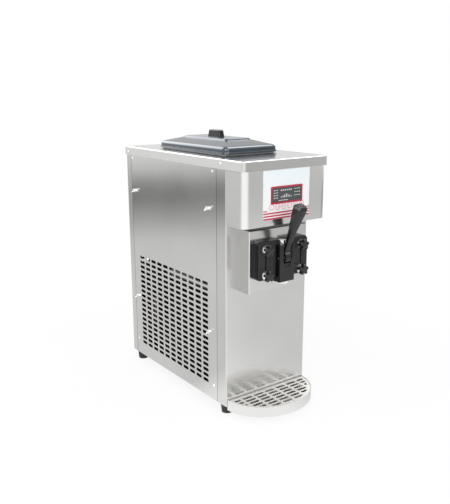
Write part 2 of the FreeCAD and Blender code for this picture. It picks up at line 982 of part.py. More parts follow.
def make_beater():
    """The dasher: a core with journals and one helical flight that scrapes and carries the mix."""
    body = new_body("beater")
    core_radius = 10
    flight_start = -20
    core = sketch(body, "core", lift=-27)
    pad(circle(core, 0, 0, core_radius), 236 + 27)
    journal = sketch(body, "journal", lift=-27)
    pad(circle(journal, 0, 0, 8), 10, reverse=True)
    flight = sketch(body, "flight", "XZ_Plane")
    outer = d.barrel_radius - 1.5
    rectangle(flight, core_radius - 1, outer, flight_start, flight_start + 4)
    doc.recompute()
    add_feature(
        body,
        "AdditiveHelix",
        Profile=flight,
        ReferenceAxis=(flight, ["V_Axis"]),
        Mode="pitch-height-angle",
        Pitch=84,
        Height=210,
    )
    finish(body, 0, 0, d.cylinder_z, TURN_TO_Y)


def make_front_bush():
    bush = cylinder("bush_blank", 13, 8, (0, collar_front + 6, d.cylinder_z), "y")
    bore = cylinder("bush_bore", 8.1, 8, (0, collar_front + 6, d.cylinder_z), "y")
    finish(cut("front_bush", bush, bore))


def make_gearbox():
    body = new_body("gearbox")
    wide = d.gearbox_half_width
    high = d.gearbox_half_height
    case = sketch(body, "case", "XZ_Plane", lift=-d.gearbox_front)
    rectangle(case, -wide, wide, d.cylinder_z - high, d.cylinder_z + high)
    pad(case, d.gearbox_length, reverse=True)
    round_edges(body, 12, lambda edge: is_line_along(edge, "y"))
    round_edges(body, 4, face_rim_at(gearbox_back))
    flange = sketch(body, "flange", "XZ_Plane", lift=-barrel_back)
    circle(flange, 0, d.cylinder_z, 48)
    pad(flange, d.gearbox_front - barrel_back, reverse=True)
    output = sketch(body, "output", "XZ_Plane", lift=-barrel_back)
    circle(output, 0, d.cylinder_z, 10.1)
    pocket(output, 30)
    entry = sketch(body, "entry", "XZ_Plane", lift=-gearbox_back)
    circle(entry, 0, d.cylinder_z, 9.1)
    pocket(entry, 20, reverse=True)
    finish(body)


def make_pulley(label, radius, shaft_radius, shaft_start, z):
    """A V-belt pulley on its shaft end: rim with a V groove, thin web and hub."""
    body = new_body(label)
    half_rim = 8
    half_web = 3
    groove = 9
    hub = shaft_radius + 6
    start = shaft_start - d.belt_y
    profile = sketch(body, "profile", "XZ_Plane")
    outline(
        profile,
        [
            (0, start),
            (shaft_radius, start),
            (shaft_radius, -half_rim - 1),
            (hub, -half_rim - 1),
            (hub, -half_web),
            (radius - groove - 5, -half_web),
            (radius - groove - 5, -half_rim),
            (radius, -half_rim),
            (radius - groove, -half_web),
            (radius - groove, half_web),
            (radius, half_rim),
            (radius - groove - 5, half_rim),
            (radius - groove - 5, half_web),
            (hub, half_web),
            (hub, half_rim),
            (0, half_rim),
        ],
    )
    revolve(profile)
    finish(body, 0, d.belt_y, z, TURN_TO_Y)


def loop_face(big, small, span):
    """The face inside a belt line round two wheels that stand one above the other."""
    tilt = math.asin((big - small) / span)
    normal = V(math.cos(tilt), 0, -math.sin(tilt))
    mirrored = V(-normal.x, 0, normal.z)
    low = V(0, 0, -span)
    top = Part.Arc(mirrored * big, V(0, 0, big), normal * big)
    right = Part.LineSegment(normal * big, low + normal * small)
    bottom = Part.Arc(low + normal * small, low - V(0, 0, small), low + mirrored * small)
    left = Part.LineSegment(low + mirrored * small, mirrored * big)
    wires = [top.toShape(), right.toShape(), bottom.toShape(), left.toShape()]
    return Part.Face(Part.Wire(wires))


def make_drive_belt():
    """The belt as one closed loop lying in both pulleys' grooves, clear of their sides."""
    belt_half = 2.4
    belt_high = 6
    seat_gap = 0.6
    big = float(d.big_pulley) - 9 + seat_gap
    small = float(d.small_pulley) - 9 + seat_gap
    span = float(d.cylinder_z - d.motor_z)
    ring = loop_face(big + belt_high, small + belt_high, span).cut(loop_face(big, small, span))
    belt = doc.addObject("Part::Feature", "drive_belt")
    belt.Shape = ring.Faces[0].extrude(V(0, 2 * belt_half, 0))
    finish(belt, 0, d.belt_y - belt_half, d.cylinder_z)


def make_drive_motor():
    """A foot-mounted motor slung under the deck: finned barrel, end bells and its cradle."""
    body = new_body("drive_motor")
    front = 140
    back = 296
    profile = sketch(body, "profile", "XZ_Plane")
    bell = d.motor_radius - 7
    outline(
        profile,
        [
            (0, front),
            (bell - 10, front),
            (bell, front + 10),
            (bell, front + 26),
            (d.motor_radius, front + 26),
            (d.motor_radius, back - 26),
            (bell, back - 26),
            (bell, back - 8),
            (bell - 8, back),
            (8.1, back),
            (8.1, back - 22),
            (0, back - 22),
        ],
    )
    revolve(profile)
    cradle = sketch(body, "cradle", "YZ_Plane", lift=-30)
    gap = deck_z - d.sheet_metal - d.motor_z
    sides = [(-gap, front + 40), (-gap, back - 40), (-40, back - 40), (-40, front + 40)]
    outline(cradle, sides)
    pad(cradle, 60)
    finish(body, 0, 0, d.motor_z, TURN_TO_Y)


# Refrigeration

def make_compressor():
    body = new_body("compressor")
    radius = 72
    low = d.foot_height + d.sheet_metal
    foot = 14
    high = 200
    profile = sketch(body, "profile", "XZ_Plane")
    outline(
        profile,
        [
            (0, foot),
            (radius - 12, foot),
            (radius, foot + 14),
            (radius, high - 60),
            (radius - 3, high - 56),
            (radius - 8, high - 34),
            (radius - 34, high - 6),
            (0, high),
        ],
    )
    revolve(profile)
    feet = sketch(body, "feet", lift=0)
    for x in (-55, 55):
        for y in (-55, 55):
            circle(feet, x, y, 11)
    pad(feet, foot)
    plate = sketch(body, "plate", lift=foot - 3)
    pad(rectangle(plate, -66, 66, -66, 66), 5)
    for side in (-1, 1):
        stub = sketch(body, f"stub_{'left' if side < 0 else 'right'}", "YZ_Plane", lift=side * 60)
        circle(stub, 0, 118 if side < 0 else 78, 7)
        pad(stub, 28, reverse=side < 0)
    finish(body, 0, 455, low)


fan_y = 235
fan_z = 200


def make_condenser():
    """Finned block behind the left-hand vents: upright fins on flat tubes, with a round fan opening."""
    body = new_body("condenser")
    deep = 32
    high = 290
    long = 280
    front = 95
    base = d.foot_height + d.sheet_metal + 24
    fins = 18
    fin_thick = 1.6
    fin = sketch(body, "fin", "XZ_Plane")
    rectangle(fin, 0, deep, 0, high)
    plate = pad(fin, fin_thick, reverse=True)
    pattern = add_feature(
        body,
        "LinearPattern",
        Originals=[plate],
        Direction=(origin_part(body, "Y_Axis"), [""]),
        Occurrences=fins,
    )
    pattern.Length = long - fin_thick
    tubes = sketch(body, "tubes", "XZ_Plane")
    for row in range(6):
        rectangle(tubes, 6, deep - 6, 20 + 48 * row, 25 + 48 * row)
    pad(tubes, long, reverse=True)
    feet = sketch(body, "feet", "XZ_Plane")
    rectangle(feet, 0, deep, -24, 4)
    pad(feet, long, reverse=True)
    shroud = sketch(body, "shroud", "YZ_Plane", lift=deep)
    rectangle(shroud, 0, long, 0, high)
    circle(shroud, fan_y - front, fan_z - base, 77)
    pad(shroud, 2)
    finish(body, -100 - deep, front, base)


def make_fan_blades():
    body = new_body("fan_blades")
    hub = sketch(body, "hub", lift=-12)
    pad(circle(hub, 0, 0, 20), 24)
    shaft = sketch(body, "shaft", lift=-30)
    pad(circle(shaft, 0, 0, 4), 20)
    sections = []
    for name, reach, wide, pitch in (("root", 17, 12, 9), ("tip", 72, 26, 6)):
        section = sketch(body, name, "YZ_Plane", lift=reach)
        outline(
            section,
            [(-wide, -pitch - 1), (wide, pitch - 1), (wide, pitch + 1), (-wide, 1 - pitch)],
        )
        sections.append(section)
    blade = loft(sections)
    around(body, blade, 5)
    finish(body, -80, fan_y, fan_z, TURN_TO_LEFT)


def make_fan_motor():
    body = new_body("fan_motor")
    profile = sketch(body, "profile", "XZ_Plane")
    outline(
        profile,
        [(0, 14), (22, 14), (30, 20), (30, 54), (24, 60), (4.1, 60), (4.1, 46), (0, 46)],
    )
    revolve(profile)
    base = fan_z - d.foot_height - d.sheet_metal
    strut = sketch(body, "strut", "XY_Plane", lift=30)
    rectangle(strut, -base, 0, -14, 14)
    pad(strut, 12)
    finish(body, 0, fan_y, fan_z, TURN_TO_LEFT)


def make_filter_drier():
    body = new_body("filter_drier")
    profile = sketch(body, "profile", "XZ_Plane")
    outline(profile, [(0, 0), (5, 0), (14, 14), (14, 76), (5, 90), (0, 90)])
    revolve(profile)
    finish(body, 110, 151, 150, TURN_TO_Y)


def bent_path(points, bend):
    """Straight runs through the points, joined by tangent arcs."""
    edges = []
    start = points[0]
    for before, corner, after in zip(points, points[1:], points[2:]):
        back = (before - corner).normalize()
        ahead = (after - corner).normalize()
        half = back.getAngle(ahead) / 2
        run = bend / math.tan(half)
        enter = corner + back * run
        leave = corner + ahead * run
        inward = (back + ahead).normalize()
        middle = corner + inward * (bend / math.sin(half) - bend)
        edges.append(Part.LineSegment(start, enter).toShape())
        edges.append(Part.Arc(enter, middle, leave).toShape())
        start = leave
    edges.append(Part.LineSegment(start, points[-1]).toShape())
    return Part.Wire(edges)


def bent_tube(points, radius, bend):
    corners = [V(*point) for point in points]
    path = bent_path(corners, bend)
    ring = Part.Circle(corners[0], corners[1] - corners[0], radius).toShape()
    tube = path.makePipeShell([Part.Wire([ring])], True, False)
    expected = math.pi * radius**2 * path.Length
    assert abs(tube.Volume - expected) < 0.02 * expected, "a pipe's volume is off"
    return tube


def make_copper_pipes():
    """Discharge, liquid, capillary and suction lines between the refrigeration pieces."""
    suction_z = float(d.cylinder_z) - 40
    routes = [
        (5, [(60, 209, suction_z), (60, 345, suction_z), (60, 345, 330), (105, 345, 330),
             (105, 345, 110), (110, 455, 109.5), (89, 455, 109.5)]),
        (4, [(-89, 455, 149.5), (-116, 455, 149.5), (-116, 455, 255), (-116, 376, 255)]),
        (4, [(-116, 94, 76), (-116, 60, 76), (110, 60, 76), (110, 60, 150), (110, 150, 150)]),
        (3, [(110, 242, 150), (110, 325, 150), (110, 325, 450), (75, 325, 450), (75, 209, 450)]),
    ]
    pipes = doc.addObject("Part::Feature", "copper_pipes")
    pipes.Shape = Part.Compound([bent_tube(points, radius, 9) for radius, points in routes])
    finish(pipes)


# Dispensing door and draw valve

def make_dispensing_door():
    """The moulded door: wings under the knobs, a valve column, and a plug that seals the cylinder."""
    body = new_body("dispensing_door")
    reach = d.door_width / 2
    high = d.door_bottom + d.door_height
    wings = sketch(body, "wings", "XZ_Plane", lift=d.collar_depth)
    pad(rectangle(wings, -reach, reach, d.door_bottom, high), d.door_thick)
    round_edges(body, 12, lambda edge: is_line_along(edge, "y"))
    round_edges(body, 5, face_rim_at(door_front))
    half = d.column_width / 2
    column = sketch(body, "column", "XZ_Plane", lift=d.collar_depth)
    pad(rectangle(column, -half, half, d.column_bottom, d.column_top), d.column_depth)
    round_edges(body, 5, upright_at(half, column_front))
    plug = sketch(body, "plug", "XZ_Plane", lift=d.collar_depth)
    circle(plug, 0, d.cylinder_z, d.barrel_radius - 0.6)
    pad(plug, 14, reverse=True)
    seal = sketch(body, "seal_groove", "YZ_Plane", rise=d.cylinder_z)
    rectangle(seal, collar_front + 6, collar_front + 10.4, d.barrel_radius - 4.6, d.barrel_radius + 2)
    revolve(seal, "H_Axis", "Groove")
    bush = sketch(body, "bush_seat", "XZ_Plane", lift=d.collar_depth - 14)
    circle(bush, 0, d.cylinder_z, 13)
    pocket(bush, 8, reverse=True)
    channel = sketch(body, "channel", "XZ_Plane", lift=d.collar_depth - 14)
    circle(channel, 0, channel_z, 5.5)
    pocket(channel, 14 + d.spool_reach - d.collar_depth, reverse=True)
    grooves = sketch(body, "wing_grooves", "XZ_Plane", lift=d.collar_depth + d.door_thick)
    for side in (-1, 1):
        inner = side * (d.knob_x - 2)
        outer = side * (d.knob_x + 2)
        low, top = d.cylinder_z - 22, d.cylinder_z + 22
        rectangle(grooves, *sorted((inner, outer), key=float), low, top)
    pocket(grooves, 6)
    bore = sketch(body, "spool_bore", lift=high)
    circle(bore, 0, spool_y, d.spool_radius)
    pocket(bore, high - d.column_bottom)
    slot_half = d.lever_width / 2 + 1.5
    slot_low = d.pivot_z - d.hub_tall - 2
    slot = sketch(body, "lever_slot", "XZ_Plane", lift=d.collar_depth + d.column_depth)
    rectangle(slot, -slot_half, slot_half, slot_low, d.column_top + 1)
    pocket(slot, d.column_depth + d.collar_depth - d.spool_reach)
    shield = sketch(body, "shield", "XZ_Plane", lift=d.collar_depth + d.column_depth)
    shoulder = slot_half + 7
    outline(
        shield,
        [
            (-shoulder, d.column_top + 1),
            (-shoulder, d.pivot_z),
            (-9, slot_low - 9),
            (9, slot_low - 9),
            (shoulder, d.pivot_z),
            (shoulder, d.column_top + 1),
        ],
    )
    pocket(shield, 3)
    pin = sketch(body, "pin_hole", "YZ_Plane", lift=half + 1)
    circle(pin, pivot_y, d.pivot_z, d.pin_radius)
    pocket(pin, d.column_width + 2)
    studs = sketch(body, "stud_holes", "XZ_Plane", lift=d.collar_depth + d.door_thick)
    for x, z in knob_places():
        circle(studs, x, z, d.stud_radius + 0.3)
    pocket(studs, d.door_thick)
    finish(body)


def seal_ring(name, radius, thick):
    """A rubber ring about Z: a six-sided section turned round the axis."""
    section = doc.addObject("Part::RegularPolygon", f"{name}_section")
    section.Polygon = 6
    section.Circumradius = thick
    seat(section, radius, turn=TURN_TO_FRONT)
    ring = doc.addObject("Part::Revolution", name)
    ring.Source = section
    ring.Axis = V(0, 0, 1)
    ring.Angle = 360
    ring.Solid = True
    return ring


def make_door_seal():
    thick = 2
    ring = seal_ring("door_seal", d.barrel_radius - 4.6 + thick, thick)
    finish(ring, 0, collar_front + 8.2, d.cylinder_z, TURN_TO_Y)


def make_door_studs():
    """Threaded studs on the cylinder flange, each with a bright sleeve between door and knob."""
    studs = []
    base = collar_front + d.sheet_metal
    for x, z in knob_places():
        rod = doc.addObject("Part::Cylinder", "stud_rod")
        bind(rod, "Radius", d.stud_radius)
        bind(rod, "Height", base - door_front + sleeve + 10)
        seat(rod, x, base, z, TURN_TO_FRONT)
        cup = doc.addObject("Part::Cone", "stud_sleeve")
        cup.Radius1 = 13
        cup.Radius2 = 10
        bind(cup, "Height", sleeve)
        seat(cup, x, door_front, z, TURN_TO_FRONT)
        studs.append(fuse("door_stud", rod, cup))
    finish(group("door_studs", studs))


def make_star_knobs():
    """Five-lobed knobs that screw onto the studs."""
    for index, (x, z) in enumerate(knob_places(), 1):
        body = new_body(f"star_knob_{index}")
        core = sketch(body, "core")
        pad(circle(core, 0, 0, d.knob_radius - 6.3), d.knob_thick)
        lobe = sketch(body, "lobe")
        lobe_pad = pad(circle(lobe, 0, d.knob_radius - 4.2, 4.2), d.knob_thick - 1)
        around(body, lobe_pad, 5)
        bevel = sketch(body, "bevel", "XZ_Plane")
        top = d.knob_thick
        outline(bevel, [(d.knob_radius - 3, top), (d.knob_radius + 1, top - 4), (d.knob_radius + 1, top)])
        revolve(bevel, kind="Groove")
        bore = sketch(body, "bore")
        circle(bore, 0, 0, d.stud_radius + 0.08)
        pocket(bore, 11, reverse=True)
        finish(body, x, door_front - sleeve - 0.3, z, TURN_TO_FRONT)


sleeve = 8
channel_z = 432
spool_low = 418
ring_levels = (421, 439.5)


def make_valve_spool():
    """The sliding valve: a rod with ring grooves, a front flat and a flared pocket for the lever tip."""
    body = new_body("valve_spool")
    radius = d.spool_radius - 0.07
    rod = sketch(body, "rod", lift=spool_low)
    pad(circle(rod, 0, 0, radius), d.column_top + 10 - spool_low)
    for index, level in enumerate(ring_levels):
        groove = sketch(body, f"ring_groove_{index}", "XZ_Plane")
        rectangle(groove, radius - 2.6, radius + 2, level - 1.5, level + 1.5)
        revolve(groove, kind="Groove")
    flat = sketch(body, "flat", lift=d.pivot_z + d.hub_tall + 5)
    travel = math.radians(float(d.lever_travel))
    swing = math.hypot(float(d.hub_radius) * math.cos(travel), float(d.hub_tall) * math.sin(travel))
    face = pivot_y + swing + 0.8 - spool_y
    rectangle(flat, -d.spool_radius - 1, d.spool_radius + 1, -d.spool_radius - 1, face)
    pocket(flat, d.pivot_z + d.hub_tall + 5 - ring_levels[1] - 1.5)
    drop = math.sin(math.radians(float(d.arm_drop)))
    seat_z = d.pivot_z - d.lever_arm * drop
    tip = 5.7
    flare = 16.5
    socket = sketch(body, "socket", "YZ_Plane", lift=7.5)
    outline(
        socket,
        [
            (9.5, seat_z - tip),
            (9.5, seat_z + tip),
            (0.5, seat_z + tip),
            (-17, seat_z + flare),
            (-17, seat_z - flare),
            (0.5, seat_z - tip),
        ],
    )
    pocket(socket, 15)
    finish(body, 0, spool_y)


def make_spool_rings():
    rings = []
    thick = 1.25
    for level in ring_levels:
        ring = seal_ring(f"spool_ring_{len(rings)}", d.spool_radius - 0.07 - thick, thick)
        rings.append(seat(ring, 0, spool_y, level))
    finish(group("spool_rings", rings))


def lever_bar(name, size, at, turn):
    """A bar that runs along +Z from a point, turned about the lever's axis."""
    wide, thick, long = size
    bar = doc.addObject("Part::Box", name)
    bind(bar, "Length", wide)
    bind(bar, "Width", thick)
    bind(bar, "Height", long)
    turned = FreeCAD.Rotation(V(1, 0, 0), turn)
    corner = V(-float(wide) / 2, -float(thick) / 2, 0)
    place = FreeCAD.Placement(V(*at), turned).multiply(FreeCAD.Placement(corner, FreeCAD.Rotation()))
    bar.Placement = place
    return bar


def make_draw_lever():
    """The valve lever: an oval hub on the pin, an inner arm with a round tip, and the grip's rod."""
    wide = d.lever_width
    oval = doc.addObject("Part::Ellipse", "lever_hub_oval")
    bind(oval, "MajorRadius", d.hub_tall)
    bind(oval, "MinorRadius", d.hub_radius)
    seat(oval, -wide / 2, turn=TURN_TO_X)
    hub = doc.addObject("Part::Extrusion", "lever_hub")
    hub.Base = oval
    hub.DirMode = "Custom"
    hub.Dir = V(1, 0, 0)
    hub.Solid = True
    bind(hub, "LengthFwd", wide)
    angle = math.radians(float(d.arm_drop))
    tip_y = d.lever_arm * math.cos(angle)
    tip_z = -d.lever_arm * math.sin(angle)
    tip = cylinder("lever_tip", 5, 12, (-6, tip_y, tip_z), "x")
    arm = lever_bar("lever_arm_bar", (12, 8, d.lever_arm), (0, 0, 0), -90 - float(d.arm_drop))
    lean = float(d.lever_lean)
    offset = V(0, math.cos(math.radians(lean)), math.sin(math.radians(lean))) * float(d.grip_offset)
    stem = lever_bar("lever_stem", (16, 8, d.grip_start), tuple(offset), lean)
    rod = doc.addObject("Part::Cylinder", "lever_rod")
    rod.Radius = 4
    bind(rod, "Height", d.grip_start + 40)
    rod.Placement = FreeCAD.Placement(offset, FreeCAD.Rotation(V(1, 0, 0), lean))
    doc.recompute()
    blank = fuse("lever_blank", hub, tip, arm, stem, rod)
    bore = cylinder("lever_bore", d.pin_radius + 0.06, wide + 2, (-wide / 2 - 1, 0, 0), "x")
    finish(cut("draw_lever", blank, bore), 0, pivot_y, d.pivot_z)


def make_lever_grip():
    """The moulded handle: bevelled sections that swell forward and end in a flat, drawn-in top."""
    body = new_body("lever_grip")
    stations = [
        (0, 9, 8.5, 0),
        (34, 10.5, 10, 1),
        (66, 14, 12.5, 2.8),
        (92, 17.3, 15, 4.5),
        (108, 18, 16, 5.2),
        (115, 13.5, 11.5, 5.2),
    ]
    sections = []
    for index, (rise, wide, deep, forward) in enumerate(stations):
        section = sketch(body, f"section_{index}", lift=d.grip_start + rise)
        middle = d.grip_offset - forward
        bevel = 0.42 * deep
        corners = []
        for across, along in ((1, 1), (-1, 1), (-1, -1), (1, -1)):
            side = (across * wide, middle + along * (deep - bevel))
            end = (across * (wide - bevel), middle + along * deep)
            corners += [side, end] if across * along > 0 else [end, side]
        sections.append(outline(section, corners))
    loft(sections, ruled=True)
    socket = sketch(body, "socket", lift=d.grip_start)
    circle(socket, 0, d.grip_offset, 4)
    pocket(socket, 40, reverse=True)
    finish(body, 0, pivot_y, d.pivot_z, (V(1, 0, 0), float(d.lever_lean)))


def make_pivot_pin():
    length = d.column_width - 1
    finish(cylinder("pivot_pin", d.pin_radius, length, (0, 0, 0), "x"), -length / 2, pivot_y, d.pivot_z, TURN_TO_X)


def make_nozzle_cap():
    """The white outlet cap with its six-pointed opening."""
    body = new_body("nozzle_cap")
    ring = sketch(body, "ring", lift=d.column_bottom)
    pad(circle(ring, 0, 0, 21), d.nozzle_drop, reverse=True)
    round_edges(body, 4, level_at(d.column_bottom - d.nozzle_drop), "Chamfer")
    flat = sketch(body, "flat", lift=d.column_bottom)
    rectangle(flat, -25, 25, d.spool_reach - d.collar_depth - 0.5, 25)
    pocket(flat, d.nozzle_drop)
    star = sketch(body, "star", lift=d.column_bottom)
    points = []
    for index in range(12):
        reach = 11 if index % 2 == 0 else 7.5
        turn = math.radians(30 * index)
        points.append((reach * math.cos(turn), reach * math.sin(turn)))
    pocket(outline(star, points), d.nozzle_drop)
    finish(body, 0, spool_y)


# Drip tray

def half_oval(name, inset, z, height):
    """A half-oval slab in front of the panel, drawn in from the tray's outline by an inset."""
    oval = doc.addObject("Part::Ellipse", f"{name}_oval")
    bind(oval, "MajorRadius", d.tray_half_width - inset)
    bind(oval, "MinorRadius", d.tray_reach - inset)
    slab = doc.addObject("Part::Extrusion", f"{name}_slab")
    slab.Base = oval
    slab.DirMode = "Custom"
    slab.Dir = V(0, 0, 1)
    slab.Solid = True
    bind(slab, "LengthFwd", height)
    seat(oval, 0, 0, z)
    front = box(
        f"{name}_front",
        (d.tray_half_width * 2, d.tray_reach - inset - 0.6, height),
        (-d.tray_half_width, -d.tray_reach, z),
    )
    return common(name, slab, front)


def make_drip_tray():
    wall = d.sheet_metal
    bottom = d.tray_bottom
    top = bottom + d.tray_height
    ledge = top - 4.5
    outer = half_oval("tray_outer", 0, bottom, d.tray_height)
    well = half_oval("tray_well", wall, bottom + wall, ledge - 2 - bottom - wall)
    mouth = half_oval("tray_mouth", 6, ledge - 2, 2)
    step = half_oval("tray_step", wall, ledge, top - ledge)
    finish(cut("drip_tray", outer, fuse("tray_hollow", well, mouth, step)))


def make_drip_grille():
    top = d.tray_bottom + d.tray_height
    low = top - 4.5
    thick = 2.5
    plate = half_oval("grille_plate", 2.3, low, thick)
    rows = []
    for row in range(7):
        y = -20.5 - d.grille_pitch * row - d.grille_slot / 2
        size = (d.tray_half_width * 2, d.grille_slot, thick)
        rows.append(box(f"grille_row_{row}", size, (-d.tray_half_width, y, low)))
    bridges = []
    for column in range(-2, 5):
        x = d.grille_bridge_pitch * column - 66 - d.grille_bridge / 2
        size = (d.grille_bridge, d.tray_reach, thick)
        bridges.append(box(f"grille_bridge_{column + 2}", size, (x, -d.tray_reach, low)))
    slots = cut("grille_slots", fuse("grille_rows", *rows), fuse("grille_bridges", *bridges))
    field = half_oval("grille_field", 11, low, thick)
    finish(cut("drip_grille", plate, common("grille_cuts", slots, field)))


def make_tray_bracket():
    """A Z-shaped bracket from under the base that the tray rests on."""
    body = new_body("tray_bracket")
    half = 55
    shelf = d.tray_bottom
    under = d.foot_height
    thick = 2
    profile = sketch(body, "profile", "YZ_Plane", lift=-half)
    outline(
        profile,
        [
            (-85, shelf - thick),
            (8, shelf - thick),
            (8, under - thick),
            (50, under - thick),
            (50, under),
            (6, under),
            (6, shelf),
            (-85, shelf),
        ],
    )
    pad(profile, 2 * half)
    finish(body)


make_base_pan()
make_front_panel()
make_rear_panel()
make_side_panel("side_panel_left", -half_width)
make_side_panel("side_panel_right", half_width - d.sheet_metal)
make_top_cover()
make_head_shell()
make_head_floor()
make_door_collar()
make_mid_deck()
make_feet()
make_panel_screws()
make_wing_screws()
make_cord_gland()
make_control_film()
make_display_window()
make_display_board()
make_control_board()
make_keys()
make_hopper()
make_feed_tube()
make_hopper_lid()
make_lid_seal()
make_lid_knob()
make_freezing_cylinder()
make_cylinder_insulation()
make_beater()
make_front_bush()
make_gearbox()
make_pulley("gearbox_pulley", d.big_pulley, 9, gearbox_back - 18, d.cylinder_z)
make_pulley("motor_pulley", d.small_pulley, 8, gearbox_back - 24, d.motor_z)
make_drive_belt()
make_drive_motor()
make_compressor()
make_condenser()
make_fan_blades()
make_fan_motor()
make_filter_drier()
make_copper_pipes()
make_dispensing_door()
make_door_seal()
make_door_studs()
make_star_knobs()
make_valve_spool()
make_spool_rings()
make_draw_lever()
make_lever_grip()
make_pivot_pin()
make_nozzle_cap()
make_drip_tray()
make_drip_grille()
make_tray_bracket()

doc.recompute()
failed = [item.Name for item in doc.Objects if {"Invalid", "Error"} & set(item.State)]
for item in nodes:
    if item.Shape.isNull() or not item.Shape.Solids or not item.Shape.isValid():
        failed.append(item.Label)
assert not failed, f"these objects failed: {failed}"

os.makedirs("parts", exist_ok=True)
for item in nodes:
    item.Shape.exportStep(f"parts/{item.Label}.step")
print(f"{len(nodes)} pieces written")
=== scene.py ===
# %% [markdown]
# # A countertop soft-serve ice cream maker
# This lesson dresses a finished CAD model. The solids already have their true sizes and places, so the
# work here is light, a camera, the finishes, and the small pieces that a CAD model leaves plain: prints,
# screw heads, rounded vent slots. We load the frame first, because every piece is placed from it.

# %% Load the frame
import math

import bpy
from mathutils import Matrix, Vector


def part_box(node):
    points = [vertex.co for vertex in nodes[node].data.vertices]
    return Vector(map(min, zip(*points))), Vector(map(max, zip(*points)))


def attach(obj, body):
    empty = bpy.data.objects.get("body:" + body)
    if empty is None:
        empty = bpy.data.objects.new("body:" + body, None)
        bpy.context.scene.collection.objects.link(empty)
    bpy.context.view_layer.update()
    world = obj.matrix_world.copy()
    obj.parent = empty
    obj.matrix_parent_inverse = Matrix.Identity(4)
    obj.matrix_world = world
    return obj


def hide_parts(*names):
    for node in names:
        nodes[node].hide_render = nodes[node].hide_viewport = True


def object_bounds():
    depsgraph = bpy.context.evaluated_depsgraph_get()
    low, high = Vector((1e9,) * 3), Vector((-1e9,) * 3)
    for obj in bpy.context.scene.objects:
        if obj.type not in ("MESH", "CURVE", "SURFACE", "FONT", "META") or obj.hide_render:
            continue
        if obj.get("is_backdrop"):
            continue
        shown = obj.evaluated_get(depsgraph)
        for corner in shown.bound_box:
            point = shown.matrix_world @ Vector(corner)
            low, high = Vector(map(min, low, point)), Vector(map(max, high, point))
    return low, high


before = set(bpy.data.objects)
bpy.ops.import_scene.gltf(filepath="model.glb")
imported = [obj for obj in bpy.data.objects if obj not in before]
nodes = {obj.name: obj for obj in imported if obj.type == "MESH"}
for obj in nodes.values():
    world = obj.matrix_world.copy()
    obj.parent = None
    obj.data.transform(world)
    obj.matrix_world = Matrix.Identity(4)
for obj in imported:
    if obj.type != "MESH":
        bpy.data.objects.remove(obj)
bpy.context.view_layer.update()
MM = 0.001
PANEL_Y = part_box("front_panel")[0].y

# %% [markdown]
# ## Camera
# The photograph was taken from the machine's left front, a little above its cover. A camera is an object
# whose local -Z axis looks forward, so its matrix can be written straight from three directions: right,
# up and back. The lens comes from the photograph's focal length in pixels and its height in pixels.

# %% Place the camera
PHOTO_HEIGHT = 504
FOCAL_PIXELS = 649.63
SENSOR = 36.0
CAMERA_PLACE = Vector((-1.173, -1.6119, 0.927))
CAMERA_YAW = math.radians(36.104)
CAMERA_PITCH = math.radians(-13.931)
CAMERA_ROLL = math.radians(-0.151)

forward = Vector((
    math.sin(CAMERA_YAW) * math.cos(CAMERA_PITCH),
    math.cos(CAMERA_YAW) * math.cos(CAMERA_PITCH),
    math.sin(CAMERA_PITCH),
))
level_right = Vector((math.cos(CAMERA_YAW), -math.sin(CAMERA_YAW), 0))
level_up = level_right.cross(forward)
right = level_right * math.cos(CAMERA_ROLL) + level_up * math.sin(CAMERA_ROLL)
up = level_up * math.cos(CAMERA_ROLL) - level_right * math.sin(CAMERA_ROLL)

camera_data = bpy.data.cameras.new("photo_camera")
camera_data.sensor_fit = "VERTICAL"
camera_data.sensor_height = SENSOR
camera_data.lens = FOCAL_PIXELS / PHOTO_HEIGHT * SENSOR
camera = bpy.data.objects.new("photo_camera", camera_data)
camera.matrix_world = Matrix((
    (right.x, up.x, -forward.x, CAMERA_PLACE.x),
    (right.y, up.y, -forward.y, CAMERA_PLACE.y),
    (right.z, up.z, -forward.z, CAMERA_PLACE.z),
    (0, 0, 0, 1),
))
bpy.context.scene.collection.objects.link(camera)
bpy.context.scene.camera = camera
bpy.context.scene.view_settings.view_transform = "Standard"
print("lens:", round(camera_data.lens, 2), "mm")

# %% [markdown]
# ## Studio
# Steel shows what stands round it, so the room matters as much as the lamps. The world is white for the
# camera, dimmer for light, so that a colour renders about as it is written, and shaded for reflections: a
# mirrored ray meets a white ceiling, a bright wall to the left and a greyer one to the right, which gives
# the head and the cover their soft change of tone round the corner. Two brighter
# softboxes hang high up, behind and overhead. Only bends and round shoulders mirror them, so they draw the
# highlights there.

# %% Light the room
def add_node(tree, kind, **values):
    """Adds a shader node and sets its sockets (or its properties) by name."""
    node = tree.nodes.new(kind)
    for name, value in values.items():
        label = name.replace("_", " ").title()
        if label in node.inputs:
            node.inputs[label].default_value = value
        else:
            setattr(node, name, value)
    return node


def aim_lamp(name, place, target, size, power):
    """A soft square lamp that looks at a point."""
    lamp_data = bpy.data.lights.new(name, "AREA")
    lamp_data.shape = "SQUARE"
    lamp_data.size = size
    lamp_data.energy = power
    lamp = bpy.data.objects.new(name, lamp_data)
    lamp.location = place
    lamp.rotation_euler = (Vector(target) - Vector(place)).to_track_quat("-Z", "Y").to_euler()
    bpy.context.scene.collection.objects.link(lamp)
    return lamp


def map_range(tree, value, start, end, low, high):
    """A node that spreads a value from one range over another, and clamps it."""
    node = add_node(tree, "ShaderNodeMapRange")
    for socket, number in (("From Min", start), ("From Max", end), ("To Min", low), ("To Max", high)):
        node.inputs[socket].default_value = number
    tree.links.new(value, node.inputs["Value"])
    return node.outputs[0]


def along(tree, vector, heading):
    """How far a vector points along a heading."""
    node = add_node(tree, "ShaderNodeVectorMath", operation="DOT_PRODUCT")
    node.inputs[1].default_value = heading
    tree.links.new(vector, node.inputs[0])
    return node.outputs["Value"]


